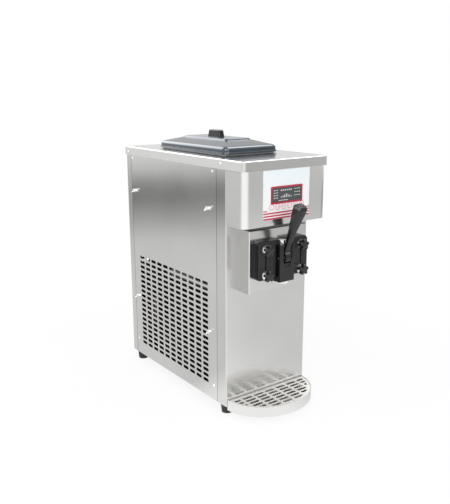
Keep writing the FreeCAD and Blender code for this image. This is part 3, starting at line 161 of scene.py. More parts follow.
ROOM_LIGHT = 0.62
BRIGHT_WALL = (-0.6, 0.8, 0)
# each softbox: heading, where its edge starts and ends, strength
SOFTBOXES = (
    ((-0.24, 0.78, 0.57), 0.86, 0.94, 4.6),
    ((0.50, -0.05, 0.86), 0.93, 0.97, 7.0),
)
aim_lamp("key_lamp", (-2.0, -2.2, 2.6), (0, 0, 0.4), 1.6, 50)
side_lamp = aim_lamp("side_lamp", (-2.6, 0.9, 1.5), (0, 0, 0.4), 1.4, 20)
side_lamp.visible_glossy = False  # the smooth side sheets would show it as a white patch
aim_lamp("front_lamp", (0.3, -3.0, 2.0), (0, -0.2, 0.4), 1.6, 20)

room = bpy.data.worlds.new("white_room")
bpy.context.scene.world = room
room.use_nodes = True
room_tree = room.node_tree
room_out = room_tree.nodes["World Output"]
room_light = room_tree.nodes["Background"]
room_light.inputs["Color"].default_value = (1, 1, 1, 1)
room_light.inputs["Strength"].default_value = ROOM_LIGHT

seen = add_node(room_tree, "ShaderNodeBackground")
seen.inputs["Color"].default_value = (1, 1, 1, 1)
mirrored = add_node(room_tree, "ShaderNodeBackground")
direction = add_node(room_tree, "ShaderNodeTexCoord").outputs["Generated"]
wall_tone = map_range(room_tree, along(room_tree, direction, BRIGHT_WALL), -1, 1, 0.4, 1)
steepness = along(room_tree, direction, (0, 0, 1))
ceiling = map_range(room_tree, steepness, 0.05, 0.4, 0, 1)
softboxes = add_node(room_tree, "ShaderNodeMath", operation="MULTIPLY")
for socket, (heading, start, end, strength) in zip(softboxes.inputs, SOFTBOXES):
    towards = along(room_tree, direction, heading)
    room_tree.links.new(map_range(room_tree, towards, start, end, 1, strength), socket)
room_tree.links.new(softboxes.outputs[0], mirrored.inputs["Strength"])
room_tone = add_node(room_tree, "ShaderNodeMix", data_type="FLOAT")
room_tone.inputs[3].default_value = 1
room_tree.links.new(ceiling, room_tone.inputs[0])
room_tree.links.new(wall_tone, room_tone.inputs[2])
room_tree.links.new(room_tone.outputs[0], mirrored.inputs["Color"])

ray = add_node(room_tree, "ShaderNodeLightPath")
glossy_mix = add_node(room_tree, "ShaderNodeMixShader")
room_tree.links.new(ray.outputs["Is Glossy Ray"], glossy_mix.inputs[0])
room_tree.links.new(room_light.outputs[0], glossy_mix.inputs[1])
room_tree.links.new(mirrored.outputs[0], glossy_mix.inputs[2])
clear_rays = add_node(room_tree, "ShaderNodeMath", operation="MAXIMUM")
room_tree.links.new(ray.outputs["Is Camera Ray"], clear_rays.inputs[0])
room_tree.links.new(ray.outputs["Is Transmission Ray"], clear_rays.inputs[1])
camera_mix = add_node(room_tree, "ShaderNodeMixShader")
room_tree.links.new(clear_rays.outputs[0], camera_mix.inputs[0])
room_tree.links.new(glossy_mix.outputs[0], camera_mix.inputs[1])
room_tree.links.new(seen.outputs[0], camera_mix.inputs[2])
room_tree.links.new(camera_mix.outputs[0], room_out.inputs["Surface"])
print("room light:", ROOM_LIGHT)

# %% [markdown]
# ## Floor
# The photograph's floor is pure white and keeps almost no shadow. A floor that is partly lit and partly
# bright by itself gives that: the glow lifts it to white, and the lit part keeps a faint contact shadow
# close to the machine. The steel mirrors the floor, and in the photograph its upper parts are darker than
# its lower parts. So in reflections the glow fades with distance, and less so towards the viewer, which
# puts the bright upright bands on the head's round corners.

# %% Lay the floor
bpy.ops.object.select_all(action="DESELECT")
bpy.ops.mesh.primitive_plane_add(size=80, location=(0, 0, -0.0005))
floor = bpy.context.object
floor.name = "studio_floor"
floor_paint = bpy.data.materials.new("floor_paint")
floor_paint.use_nodes = True
floor_tree = floor_paint.node_tree
floor_lit = floor_tree.nodes["Principled BSDF"]
floor_lit.inputs["Base Color"].default_value = (0.93, 0.93, 0.93, 1)
floor_lit.inputs["Roughness"].default_value = 0.9
floor_glow = add_node(floor_tree, "ShaderNodeEmission")
floor_glow.inputs["Color"].default_value = (1, 1, 1, 1)
floor_place = add_node(floor_tree, "ShaderNodeTexCoord").outputs["Object"]
floor_reach = add_node(floor_tree, "ShaderNodeVectorMath", operation="LENGTH")
floor_tree.links.new(floor_place, floor_reach.inputs[0])
floor_heading = add_node(floor_tree, "ShaderNodeVectorMath", operation="NORMALIZE")
floor_tree.links.new(floor_place, floor_heading.inputs[0])

floor_ray = add_node(floor_tree, "ShaderNodeLightPath")
floor_seen = add_node(floor_tree, "ShaderNodeMath", operation="MULTIPLY")
floor_white = map_range(floor_tree, floor_reach.outputs["Value"], 0.3, 1.1, 0.88, 1)
floor_tree.links.new(floor_ray.outputs["Is Camera Ray"], floor_seen.inputs[0])
floor_tree.links.new(floor_white, floor_seen.inputs[1])
floor_mix = add_node(floor_tree, "ShaderNodeMixShader")
floor_tree.links.new(floor_seen.outputs[0], floor_mix.inputs[0])
floor_tree.links.new(floor_lit.outputs[0], floor_mix.inputs[1])
floor_tree.links.new(floor_glow.outputs[0], floor_mix.inputs[2])


def mix_tones(tree, share, first, second):
    """A mix of two tones, each a number or a socket."""
    node = add_node(tree, "ShaderNodeMix", data_type="FLOAT")
    tree.links.new(share, node.inputs[0])
    for socket, tone in ((node.inputs[2], first), (node.inputs[3], second)):
        if isinstance(tone, float):
            socket.default_value = tone
        else:
            tree.links.new(tone, socket)
    return node.outputs[0]


VIEWER_TONE = 1.08
RAMP_REACH = 8.0
BACK_TONES = ((0, 0.80), (2.2, 0.76), (2.9, 0.50), (4.0, 0.22), (4.9, 0.28), (6.2, 0.76), (8.0, 0.9))
reach = floor_reach.outputs["Value"]
back_ramp = add_node(floor_tree, "ShaderNodeValToRGB")
floor_tree.links.new(map_range(floor_tree, reach, 0, RAMP_REACH, 0, 1), back_ramp.inputs[0])
stops = back_ramp.color_ramp.elements
while len(stops) < len(BACK_TONES):
    stops.new(0.5)
for stop, (distance, tone) in zip(stops, BACK_TONES):
    stop.position = distance / RAMP_REACH
    stop.color = (tone, tone, tone, 1)
near_tone = map_range(floor_tree, reach, 0.7, 1.3, 0.86, 1.04)
far_tone = map_range(floor_tree, reach, 0.5, 4, 0.92, 0.52)
front_tone = add_node(floor_tree, "ShaderNodeMath", operation="MULTIPLY")
floor_tree.links.new(near_tone, front_tone.inputs[0])
floor_tree.links.new(far_tone, front_tone.inputs[1])

viewer_heading = Vector((CAMERA_PLACE.x, CAMERA_PLACE.y, 0)).normalized()
facing = along(floor_tree, floor_heading.outputs["Vector"], viewer_heading)
to_front = map_range(floor_tree, facing, -0.3, 0.3, 0, 1)
to_viewer = map_range(floor_tree, facing, 0.4, 0.85, 0, 1)
room_floor = mix_tones(floor_tree, to_front, back_ramp.outputs["Color"], front_tone.outputs[0])
mirrored_tone = mix_tones(floor_tree, to_viewer, room_floor, VIEWER_TONE)
mirrored_glow = add_node(floor_tree, "ShaderNodeEmission")
floor_tree.links.new(mirrored_tone, mirrored_glow.inputs["Color"])
mirror_mix = add_node(floor_tree, "ShaderNodeMixShader")
floor_tree.links.new(floor_ray.outputs["Is Glossy Ray"], mirror_mix.inputs[0])
floor_tree.links.new(floor_mix.outputs[0], mirror_mix.inputs[1])
floor_tree.links.new(mirrored_glow.outputs[0], mirror_mix.inputs[2])
floor_tree.links.new(mirror_mix.outputs[0], floor_tree.nodes["Material Output"].inputs["Surface"])
floor.data.materials.append(floor_paint)
floor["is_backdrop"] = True
print("floor laid")

# %% [markdown]
# ## Finishes
# A finish is a small node tree. All of them start alike: Object coordinates (so the pattern stays on the
# piece when it moves), a noise stretched along the grain or left round, and that noise spread over colour,
# roughness and a fine bump. Helpers for those steps keep each finish short.

# %% Helpers for finishes
def start_finish(name):
    paint = bpy.data.materials.new(name)
    paint.use_nodes = True
    tree = paint.node_tree
    coords = add_node(tree, "ShaderNodeTexCoord").outputs["Object"]
    return paint, tree, tree.nodes["Principled BSDF"], coords


def noise(tree, coords, scale, stretch=(1, 1, 1), detail=3.0):
    """A noise pattern whose size along each axis is set by a stretch."""
    mapping = add_node(tree, "ShaderNodeMapping")
    mapping.inputs["Scale"].default_value = stretch
    texture = add_node(tree, "ShaderNodeTexNoise")
    texture.inputs["Scale"].default_value = scale
    texture.inputs["Detail"].default_value = detail
    tree.links.new(coords, mapping.inputs["Vector"])
    tree.links.new(mapping.outputs[0], texture.inputs["Vector"])
    return texture.outputs[0]


def spread(tree, pattern, low, high, start=0.3, end=0.7):
    """Spreads a noise, most of which lies between start and end, over a range of values."""
    return map_range(tree, pattern, start, end, low, high)


def blend_colours(tree, pattern, dark, light):
    node = add_node(tree, "ShaderNodeMix", data_type="RGBA")
    node.inputs[6].default_value = (*dark, 1)
    node.inputs[7].default_value = (*light, 1)
    tree.links.new(pattern, node.inputs[0])
    return node.outputs[2]


def roughen(tree, shader, pattern, strength, depth):
    node = add_node(tree, "ShaderNodeBump")
    node.inputs["Strength"].default_value = strength
    node.inputs["Distance"].default_value = depth
    tree.links.new(pattern, node.inputs["Height"])
    tree.links.new(node.outputs[0], shader.inputs["Normal"])


def metal_finish(name, dark, light, rough, grain, clouds_share=0.6, relief=0.02):
    """Brushed or drawn metal: fine lines from a stretched noise over a slow, cloudy variation."""
    paint, tree, shader, coords = start_finish(name)
    shader.inputs["Metallic"].default_value = 1.0
    lines = noise(tree, coords, 1.0, grain, 2.0)
    clouds = noise(tree, coords, 4.5, (1, 1, 1), 2.0)
    both = add_node(tree, "ShaderNodeMix", data_type="FLOAT")
    both.inputs[0].default_value = clouds_share
    tree.links.new(lines, both.inputs[2])
    tree.links.new(clouds, both.inputs[3])
    colour = blend_colours(tree, spread(tree, both.outputs[0], 0, 1, 0.35, 0.65), dark, light)
    tree.links.new(colour, shader.inputs["Base Color"])
    tree.links.new(spread(tree, both.outputs[0], *rough), shader.inputs["Roughness"])
    roughen(tree, shader, lines, relief, 0.0001)
    return paint


def moulded_finish(name, dark, light, rough, grain=900.0, relief=0.05, shine=0.5):
    """Moulded plastic, rubber or paint: a fine spark-eroded grain and a slow change of tone."""
    paint, tree, shader, coords = start_finish(name)
    fine = noise(tree, coords, grain, (1, 1, 1), 2.0)
    slow = noise(tree, coords, 14.0, (1, 1, 1), 3.0)
    tree.links.new(blend_colours(tree, slow, dark, light), shader.inputs["Base Color"])
    tree.links.new(spread(tree, slow, *rough), shader.inputs["Roughness"])
    shader.inputs["Specular IOR Level"].default_value = shine
    roughen(tree, shader, fine, relief, 0.0002)
    return paint


def dress(paint, *names):
    """Gives a finish to CAD nodes or to new pieces, in place of what they had."""
    for name in names:
        piece = nodes[name] if isinstance(name, str) else name
        piece.data.materials.clear()
        piece.data.materials.append(paint)


print("finish helpers ready")

# %% [markdown]
# ## Steel
# The cabinet is brushed stainless sheet. The brush lines run level on upright faces, so the noise is
# stretched along X and Y and squeezed along Z. The cover's lines run along its length. The sheets aren't
# alike: the side sheets are the smoothest and mirror the far floor, so they darken towards the top, while
# the front, the cover and the head are more matt and stay pale. Flanks and the cover's top get a roughness
# and a tone of their own, chosen by the way a face looks. The tone is painted light and shade: the faces of
# one steel are made lighter and darker by the side they face. The inside of the rear sheet is painted
# nearly black, a painted shade that keeps the cabinet dark behind the slots.

# %% Steel finishes
LEVEL_GRAIN = (4, 4, 2200)
LENGTH_GRAIN = (1600, 4, 2200)


def sheet_steel(name, tone, rough, grain=LEVEL_GRAIN):
    """Brushed sheet of one tone: the lines barely show, and the tone drifts slowly."""
    dark = (tone, tone * 0.995, tone * 0.975)
    light = tuple(channel * 1.07 for channel in dark)
    return metal_finish(name, dark, light, (rough, rough + 0.03), grain, 0.88, 0.004)


def faces_along(paint, heading):
    """How squarely a face looks along a heading, from the piece's own normals."""
    tree = paint.node_tree
    return along(tree, add_node(tree, "ShaderNodeTexCoord").outputs["Normal"], heading)


def refinish(paint, share, colour, rough):
    """Mixes a second colour and roughness into a finish where a share says so."""
    tree = paint.node_tree
    shader = tree.nodes["Principled BSDF"]
    face_rough = shader.inputs["Roughness"].links[0].from_socket
    tree.links.new(mix_tones(tree, share, face_rough, rough), shader.inputs["Roughness"])
    mix = add_node(tree, "ShaderNodeMix", data_type="RGBA")
    mix.inputs[7].default_value = (*colour, 1)
    tree.links.new(share, mix.inputs[0])
    tree.links.new(shader.inputs["Base Color"].links[0].from_socket, mix.inputs[6])
    tree.links.new(mix.outputs[2], shader.inputs["Base Color"])


def paint_flank_shading(paint, tone, rough):
    """Gives the faces that look left or right a roughness and a tone of their own; the tone is painted
    light and shade on the sides.
    """
    tree = paint.node_tree
    sideways = add_node(tree, "ShaderNodeMath", operation="ABSOLUTE")
    tree.links.new(faces_along(paint, (1, 0, 0)), sideways.inputs[0])
    painted_flank_share = map_range(tree, sideways.outputs[0], 0.85, 0.99, 0, 1)
    refinish(paint, painted_flank_share, (tone, tone * 0.995, tone * 0.975), rough)


side_steel = sheet_steel("side_steel", 0.66, 0.13)
panel_steel = sheet_steel("panel_steel", 0.68, 0.24)
collar_steel = sheet_steel("collar_steel", 0.68, 0.20)
head_steel = sheet_steel("head_steel", 0.84, 0.16)
cover_steel = sheet_steel("cover_steel", 0.70, 0.20, LENGTH_GRAIN)
# painted light and shade on the flanks: darker on the panel, collar and head, lighter on the cover
paint_flank_shading(panel_steel, 0.66, 0.13)
paint_flank_shading(collar_steel, 0.57, 0.24)
paint_flank_shading(head_steel, 0.62, 0.5)
paint_flank_shading(cover_steel, 0.74, 0.5)
# painted light: the cover's upward faces get a lighter tone of their own and a smoother roughness
cover_top_light = map_range(cover_steel.node_tree, faces_along(cover_steel, (0, 0, 1)), 0.9, 0.99, 0, 1)
refinish(cover_steel, cover_top_light, (0.74, 0.74, 0.735), 0.16)
tray_steel = sheet_steel("tray_steel", 0.83, 0.30, LENGTH_GRAIN)
inner_steel = metal_finish(
    "inner_steel", (0.30, 0.30, 0.30), (0.42, 0.42, 0.42), (0.3, 0.45), LEVEL_GRAIN
)
bright_steel = metal_finish(
    "bright_steel", (0.80, 0.80, 0.80), (0.92, 0.92, 0.92), (0.12, 0.2), (40, 40, 40)
)

TRAY_HALF = (146.0, 125.0)
TRAY_RIM = 1.3


def paint_well_shade(paint, low_tone):
    """Paints shade into the inside of the tray, where the steel sees little light: an oval mask in plan."""
    tree = paint.node_tree
    shader = tree.nodes["Principled BSDF"]
    oval = add_node(tree, "ShaderNodeMapping")
    scale = [1 / ((half - TRAY_RIM) * MM) for half in TRAY_HALF]
    oval.inputs["Scale"].default_value = (*scale, 0)
    oval.inputs["Location"].default_value = (0, -PANEL_Y * scale[1], 0)
    reach = add_node(tree, "ShaderNodeVectorMath", operation="LENGTH")
    tree.links.new(add_node(tree, "ShaderNodeTexCoord").outputs["Object"], oval.inputs["Vector"])
    tree.links.new(oval.outputs[0], reach.inputs[0])
    shade = map_range(tree, reach.outputs["Value"], 0.99, 1, low_tone, 1)
    mix = add_node(tree, "ShaderNodeMix", data_type="RGBA")
    mix.inputs[6].default_value = (0, 0, 0, 1)
    tree.links.new(shade, mix.inputs[0])
    tree.links.new(shader.inputs["Base Color"].links[0].from_socket, mix.inputs[7])
    tree.links.new(mix.outputs[2], shader.inputs["Base Color"])


rear_steel = sheet_steel("rear_steel", 0.68, 0.24)
# painted shade: the rear sheet's inward faces are painted nearly black, so the cabinet looks dark behind
# the slots
rear_inside_shade = map_range(rear_steel.node_tree, faces_along(rear_steel, (0, -1, 0)), 0.5, 0.9, 0, 1)
refinish(rear_steel, rear_inside_shade, (0.02, 0.02, 0.02), 0.6)
tray_shell_steel = sheet_steel("tray_shell_steel", 0.77, 0.28, LENGTH_GRAIN)
# painted shade inside the tray's well
paint_well_shade(tray_shell_steel, 0.6)

dress(panel_steel, "front_panel")
dress(rear_steel, "rear_panel")
dress(collar_steel, "door_collar")
dress(head_steel, "head_shell")
dress(cover_steel, "top_cover")
dress(tray_steel, "tray_bracket")
dress(tray_shell_steel, "drip_tray")
dress(inner_steel, "hopper", "freezing_cylinder", "beater")
dress(bright_steel, "panel_screws", "wing_screws", "door_studs", "pivot_pin", "valve_spool")
print("steel dressed")

# %% [markdown]
# ## Mouldings and rubber
# The door, knobs and lever are black moulded plastic with a satin skin; the door's front faces carry a
# painted lighter tone. The lid is a dark blue-grey, with a painted lighter top.
# Rubber is duller than plastic, so its roughness is higher and its grain deeper.

# %% Moulded finishes
door_black = moulded_finish(
    "door_black", (0.003, 0.003, 0.003), (0.006, 0.006, 0.007), (0.12, 0.18), relief=0.02, shine=0.16
)
# painted light: the door's faces that look to the front are lighter than its other faces, and rougher
door_front_light = map_range(door_black.node_tree, faces_along(door_black, (0, -1, 0)), 0.7, 0.95, 0, 1)
refinish(door_black, door_front_light, (0.030, 0.030, 0.032), 0.3)
knob_black = moulded_finish(
    "knob_black", (0.014, 0.014, 0.015), (0.022, 0.022, 0.023), (0.16, 0.24), relief=0.02
)
grip_black = moulded_finish(
    "grip_black", (0.005, 0.005, 0.006), (0.010, 0.010, 0.011), (0.16, 0.24), relief=0.02
)
lid_grey = moulded_finish(
    "lid_grey", (0.008, 0.014, 0.022), (0.012, 0.021, 0.033), (0.09, 0.13), relief=0.01
)
lid_skin = lid_grey.node_tree.nodes["Principled BSDF"]
lid_skin.inputs["IOR"].default_value = 1.95
lid_skin.inputs["Specular Tint"].default_value = (0.88, 0.94, 1, 1)
# painted light: the lid's level top faces (its plateau) get a lighter blue-grey than its walls
lid_top_light = faces_along(lid_grey, (0, 0, 1))
refinish(lid_grey, map_range(lid_grey.node_tree, lid_top_light, 0.992, 0.999, 0, 1), (0.11, 0.14, 0.17), 0.12)
nozzle_white = moulded_finish("nozzle_white", (0.80, 0.80, 0.78), (0.90, 0.90, 0.89), (0.3, 0.45))
rubber_black = moulded_finish(
    "rubber_black", (0.012, 0.012, 0.012), (0.024, 0.024, 0.024), (0.5, 0.7), 600, 0.3
)
seal_grey = moulded_finish("seal_grey", (0.03, 0.03, 0.032), (0.05, 0.05, 0.052), (0.45, 0.6), 600, 0.2)

dress(door_black, "dispensing_door", "cord_gland")
dress(knob_black, *[f"star_knob_{i}" for i in range(1, 5)])
dress(grip_black, "draw_lever", "lever_grip", "lid_knob")
dress(lid_grey, "hopper_lid")
dress(nozzle_white, "nozzle_cap", "feed_tube", "front_bush")
dress(rubber_black, "feet", "drive_belt")
dress(seal_grey, "lid_seal", "door_seal", "spool_rings")
print("mouldings dressed")

# %% [markdown]
# ## Machinery
# The drive and the refrigeration show only through the slots and from inside, but each still gets the
# finish it has on such a machine: painted shells and fins, cast cases, copper pipe, foam and circuit
# board. The base pan and the mid deck are black too, as painted shade, so the slots look into a dark
# cabinet.

# %% Machinery finishes
black_paint_and_shade = moulded_finish(
    "black_paint_and_shade", (0.010, 0.010, 0.011), (0.02, 0.02, 0.021), (0.2, 0.32), 300, 0.05
)
motor_paint = moulded_finish(
    "motor_paint", (0.07, 0.085, 0.10), (0.10, 0.115, 0.135), (0.35, 0.5), 300, 0.1
)
foam_cream = moulded_finish("foam_cream", (0.62, 0.52, 0.32), (0.76, 0.67, 0.46), (0.75, 0.9), 160, 0.6)
board_green = moulded_finish("board_green", (0.015, 0.10, 0.04), (0.03, 0.16, 0.07), (0.3, 0.45), 200, 0.1)
cast_metal = metal_finish("cast_metal", (0.34, 0.35, 0.36), (0.5, 0.51, 0.52), (0.45, 0.6), (90, 90, 90))
pulley_iron = metal_finish("pulley_iron", (0.16, 0.16, 0.17), (0.28, 0.28, 0.29), (0.4, 0.55), (60, 60, 60))
pipe_copper = metal_finish("pipe_copper", (0.20, 0.10, 0.06), (0.32, 0.16, 0.10), (0.3, 0.45), (30, 30, 30))

# painted shade: the base pan and mid deck are black, so the slots look into a dark cabinet
dress(black_paint_and_shade, "compressor", "head_floor", "condenser", "base_pan", "mid_deck")
dress(motor_paint, "drive_motor", "fan_motor")
dress(rubber_black, "fan_blades")
dress(foam_cream, "cylinder_insulation")
dress(board_green, "display_board", "control_board")
dress(cast_metal, "gearbox")
dress(pulley_iron, "gearbox_pulley", "motor_pulley")
dress(pipe_copper, "copper_pipes", "filter_drier")
print("machinery dressed")

# %% [markdown]
# ## Control film
# The film is a white printed sheet that turns slightly blue towards its top. The gradient reads the
# object's own Z coordinate, so it stays put. Its keys are the same sheet, a little pinker.

# %% Film finishes
def film_finish(name, low_colour, high_colour, low_z, high_z):
    """A satin printed sheet whose tint changes with height."""
    paint, tree, shader, coords = start_finish(name)
    split = add_node(tree, "ShaderNodeSeparateXYZ")
    tree.links.new(coords, split.inputs[0])
    rise = spread(tree, split.outputs["Z"], 0, 1, low_z, high_z)
    tree.links.new(blend_colours(tree, rise, low_colour, high_colour), shader.inputs["Base Color"])
    fine = noise(tree, coords, 1500, (1, 1, 1), 2.0)
    tree.links.new(spread(tree, fine, 0.32, 0.42), shader.inputs["Roughness"])
    roughen(tree, shader, fine, 0.05, 0.0001)
    return paint


film_low, film_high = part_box("control_overlay")
film_white = film_finish(
    "film_white", (0.80, 0.80, 0.81), (0.73, 0.79, 0.82), film_high.z - 0.075, film_high.z - 0.01
)
key_white = film_finish("key_white", (0.88, 0.82, 0.84), (0.90, 0.84, 0.86), film_low.z, film_high.z)
print_red = moulded_finish("print_red", (0.42, 0.006, 0.035), (0.50, 0.010, 0.045), (0.32, 0.42), 900, 0.04)
outline_pink = moulded_finish(
    "outline_pink", (0.52, 0.07, 0.15), (0.60, 0.10, 0.19), (0.32, 0.42), 900, 0.04
)
display_grey = moulded_finish(
    "display_grey", (0.055, 0.06, 0.063), (0.085, 0.09, 0.094), (0.14, 0.22), 60, 0.02
)
mark_white = moulded_finish("mark_white", (0.62, 0.64, 0.66), (0.74, 0.76, 0.78), (0.3, 0.4), 900, 0.02)

dress(film_white, "control_overlay")
dress(key_white, *[f"key_{i}" for i in range(1, 7)])
dress(display_grey, "display_window")
print("film dressed")

# %% [markdown]
# ## Modelling helpers
# The next pieces are modelled by hand, one operator after another. An operator works on what is selected,
# so the first helper selects one piece and nothing else. A finished piece keeps its place in its mesh,
# which is what applying its transform does. Booleans and arrays are modifiers that are applied at once.

# %% Helpers for modelling
def select_only(piece):
    bpy.ops.object.select_all(action="DESELECT")
    piece.select_set(True)
    bpy.context.view_layer.objects.active = piece


def settle(piece):
    """Moves a piece's place, turn and size into its mesh."""
    select_only(piece)
    bpy.ops.object.transform_apply(location=True, rotation=True, scale=True)
    return piece


def add_box(name, low, high):
    low, high = Vector(low), Vector(high)
    bpy.ops.object.select_all(action="DESELECT")
    bpy.ops.mesh.primitive_cube_add(size=1, location=(low + high) / 2)
    piece = bpy.context.object
    piece.name = name
    piece.scale = high - low
    return settle(piece)


def add_disc(name, centre, radius, depth, sides=40):
    """A flat disc that faces the front."""
    bpy.ops.object.select_all(action="DESELECT")
    bpy.ops.mesh.primitive_cylinder_add(
        vertices=sides, radius=radius, depth=depth, location=centre, rotation=(math.pi / 2, 0, 0)
    )
    bpy.context.object.name = name
    return settle(bpy.context.object)


def finish_with(piece, kind, **settings):
    """Adds a modifier and applies it."""
    modifier = piece.modifiers.new(kind.lower(), kind)
    for name, value in settings.items():
        setattr(modifier, name, value)
    select_only(piece)
    bpy.ops.object.modifier_apply(modifier=modifier.name)
    return piece


def repeat(piece, step, count):
    return finish_with(
        piece,
        "ARRAY",
        use_relative_offset=False,
        use_constant_offset=True,
        constant_offset_displace=step,
        count=count,
    )


def carve(piece, cutter, how="DIFFERENCE"):
    """Cuts a piece with another one, which is then thrown away."""
    finish_with(piece, "BOOLEAN", object=cutter, operation=how, solver="EXACT")
    bpy.data.objects.remove(cutter)
    return piece


def round_edges_along(piece, axis, radius, segments=4):
    """Bevels the edges that run along an axis into round corners."""
    mesh = piece.data
    bpy.context.tool_settings.mesh_select_mode = (False, True, False)
    for part in (*mesh.vertices, *mesh.edges, *mesh.polygons):
        part.select = False
    for edge in mesh.edges:
        start, end = (mesh.vertices[index].co for index in edge.vertices)
        run = end - start
        edge.select = abs(run[axis]) > 0.99 * run.length
    select_only(piece)
    bpy.ops.object.mode_set(mode="EDIT")
    bpy.ops.mesh.bevel(offset=radius, segments=segments, affect="EDGES")
    bpy.ops.object.mode_set(mode="OBJECT")
    return piece


def join_pieces(name, pieces):
    bpy.ops.object.select_all(action="DESELECT")
    for piece in pieces:
        piece.select_set(True)
    bpy.context.view_layer.objects.active = pieces[0]
    bpy.ops.object.join()
    bpy.context.object.name = name
    return bpy.context.object


def smooth(piece, angle=40):
    select_only(piece)
    bpy.ops.object.shade_smooth_by_angle(angle=math.radians(angle))
    return piece


def place_on(body, slot, paint, *pieces):
    """Dresses pieces and lets them ride on a body."""
    for piece in pieces:
        dress(paint, piece)
        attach(piece, body)


def from_panel(x, y, z):
    """A point in millimetres, with y measured from the lower front panel's face."""
    return Vector((x * MM, PANEL_Y + y * MM, z * MM))


print("modelling helpers ready")

# %% [markdown]
# ## Vented sides
# Each side sheet has a field of slots with round ends. One slot is a block whose short edges are bevelled
# into half circles. Two array modifiers make the field from it, and one boolean cuts the whole field out of
# the sheet, which keeps every slot alike. The sheet replaces the CAD sheet, whose slots are square.

# %% Cut the vented sides
VENT_SIZE = (28.8, 10.0)
VENT_PITCH = (37.2, 16.9)
VENT_FIRST = (103.0, 79.5)
VENT_COUNT = (11, 19)


def vented_side(node):
    low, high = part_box(node)
    sheet = add_box(f"{node}_sheet", low, high)
    middle = from_panel(0, *VENT_FIRST)
    half = Vector((0, VENT_SIZE[0] / 2, VENT_SIZE[1] / 2)) * MM
    start, end = middle - half, middle + half
    slot = add_box("slot_cutter", (low.x - 0.002, start.y, start.z), (high.x + 0.002, end.y, end.z))
    round_edges_along(slot, 0, VENT_SIZE[1] / 2 * 0.96 * MM, 5)
    repeat(slot, (0, VENT_PITCH[0] * MM, 0), VENT_COUNT[0])
    repeat(slot, (0, 0, VENT_PITCH[1] * MM), VENT_COUNT[1])
    carve(sheet, slot)
    place_on("cabinet", "stainless", side_steel, sheet)
    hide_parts(node)
    print(sheet.name, len(sheet.data.polygons), "faces")


vented_side("side_panel_left")
vented_side("side_panel_right")

# %% [markdown]
# ## Drip grille
# The grille is a half-oval sheet with rows of round-ended slots that stop short of a plain border. A circle
# scaled to the oval, cut straight behind by a bisect and pulled up by an extrude gives the sheet. A smaller
# half oval trims the slots, so that the border keeps its width all round.

# %% Cut the drip grille
DRAIN_SIZE = (34.5, 9.5)
DRAIN_FIRST = (-129.75, -20.5)
DRAIN_PITCH = (42.5, -16.5)
DRAIN_COUNT = 7
DRAIN_ROUND = 4.5
GRILLE_PLAY = 2.3
GRILLE_BORDER = 11
grille_low, grille_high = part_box("drip_grille")


def half_oval(name, inset, low_z, high_z):
    bpy.ops.object.select_all(action="DESELECT")
    centre = from_panel(0, 0, 0)
    bpy.ops.mesh.primitive_circle_add(
        vertices=120, radius=1, fill_type="NGON", location=(centre.x, centre.y, low_z)
    )
    piece = bpy.context.object
    piece.name = name
    piece.scale = ((TRAY_HALF[0] - inset) * MM, (TRAY_HALF[1] - inset) * MM, 1)
    settle(piece)
    bpy.ops.object.mode_set(mode="EDIT")
    bpy.ops.mesh.select_all(action="SELECT")
    back = from_panel(0, -inset - 0.6, 0).y
    bpy.ops.mesh.bisect(plane_co=(0, back, low_z), plane_no=(0, 1, 0), clear_outer=True)
    bpy.ops.mesh.select_all(action="SELECT")
    bpy.ops.mesh.extrude_region_move(TRANSFORM_OT_translate={"value": (0, 0, high_z - low_z)})
    bpy.ops.mesh.select_all(action="SELECT")
    bpy.ops.mesh.normals_make_consistent(inside=False)
    bpy.ops.object.mode_set(mode="OBJECT")
    return piece


grille = half_oval("grille_sheet", GRILLE_PLAY, grille_low.z, grille_high.z)
drain_half = Vector((DRAIN_SIZE[0] / 2, DRAIN_SIZE[1] / 2, 0)) * MM
slot_low = from_panel(*DRAIN_FIRST, 0) - drain_half
slot_high = from_panel(*DRAIN_FIRST, 0) + drain_half
drain = add_box(
    "drain_cutter",
    (slot_low.x, slot_low.y, grille_low.z - 0.004),
    (slot_high.x, slot_high.y, grille_high.z + 0.004),
)
round_edges_along(drain, 2, DRAIN_ROUND * MM, 5)
repeat(drain, (DRAIN_PITCH[0] * MM, 0, 0), DRAIN_COUNT)
repeat(drain, (0, DRAIN_PITCH[1] * MM, 0), DRAIN_COUNT)
field = half_oval("drain_field", GRILLE_BORDER, grille_low.z - 0.002, grille_high.z + 0.002)
carve(drain, field, "INTERSECT")
carve(grille, drain)
place_on("grille", "stainless", tray_steel, grille)
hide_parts("drip_grille")
print("grille:", len(grille.data.polygons), "faces")

# %% [markdown]
# ## Prints on the film
# Ink has almost no thickness, so each print is a sheet a fifth of a millimetre thick that lies on the film:
# three red stripes along the foot, two short dashes over their ends, and a red border with round corners
# round the display.

# %% Lay the prints
INK = 0.2 * MM
STRIPE_HALF = 82.6
STRIPE_HEIGHTS = (605.5, 597.8, 590.4)
DASH_START = 69
film_face = film_low.y


def ink_box(name, left, right, low, high, face):
    return add_box(name, (left * MM, face - INK, low * MM), (right * MM, face + INK / 2, high * MM))


stripes = [ink_box("stripe", -STRIPE_HALF, STRIPE_HALF, z - 2, z + 2, film_face) for z in STRIPE_HEIGHTS]
for side in (-1, 1):
    dash_ends = sorted((side * STRIPE_HALF, side * DASH_START))
    stripes.append(ink_box("dash", *dash_ends, 610.6, 613.6, film_face))
for stripe in stripes:
    round_edges_along(stripe, 1, 0.3 * MM, 2)
stripe_print = join_pieces("stripe_print", stripes)

window_low, window_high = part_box("display_window")
window_face = window_low.y
BORDER_OUT = (57.0, 629.5, 677.5)
BORDER_IN = (52.8, 634.0, 673.2)


def border_block(name, half, low, high, depth):
    near = (-half * MM, window_face - depth, low * MM)
    far = (half * MM, window_face + depth / 2, high * MM)
    return add_box(name, near, far)


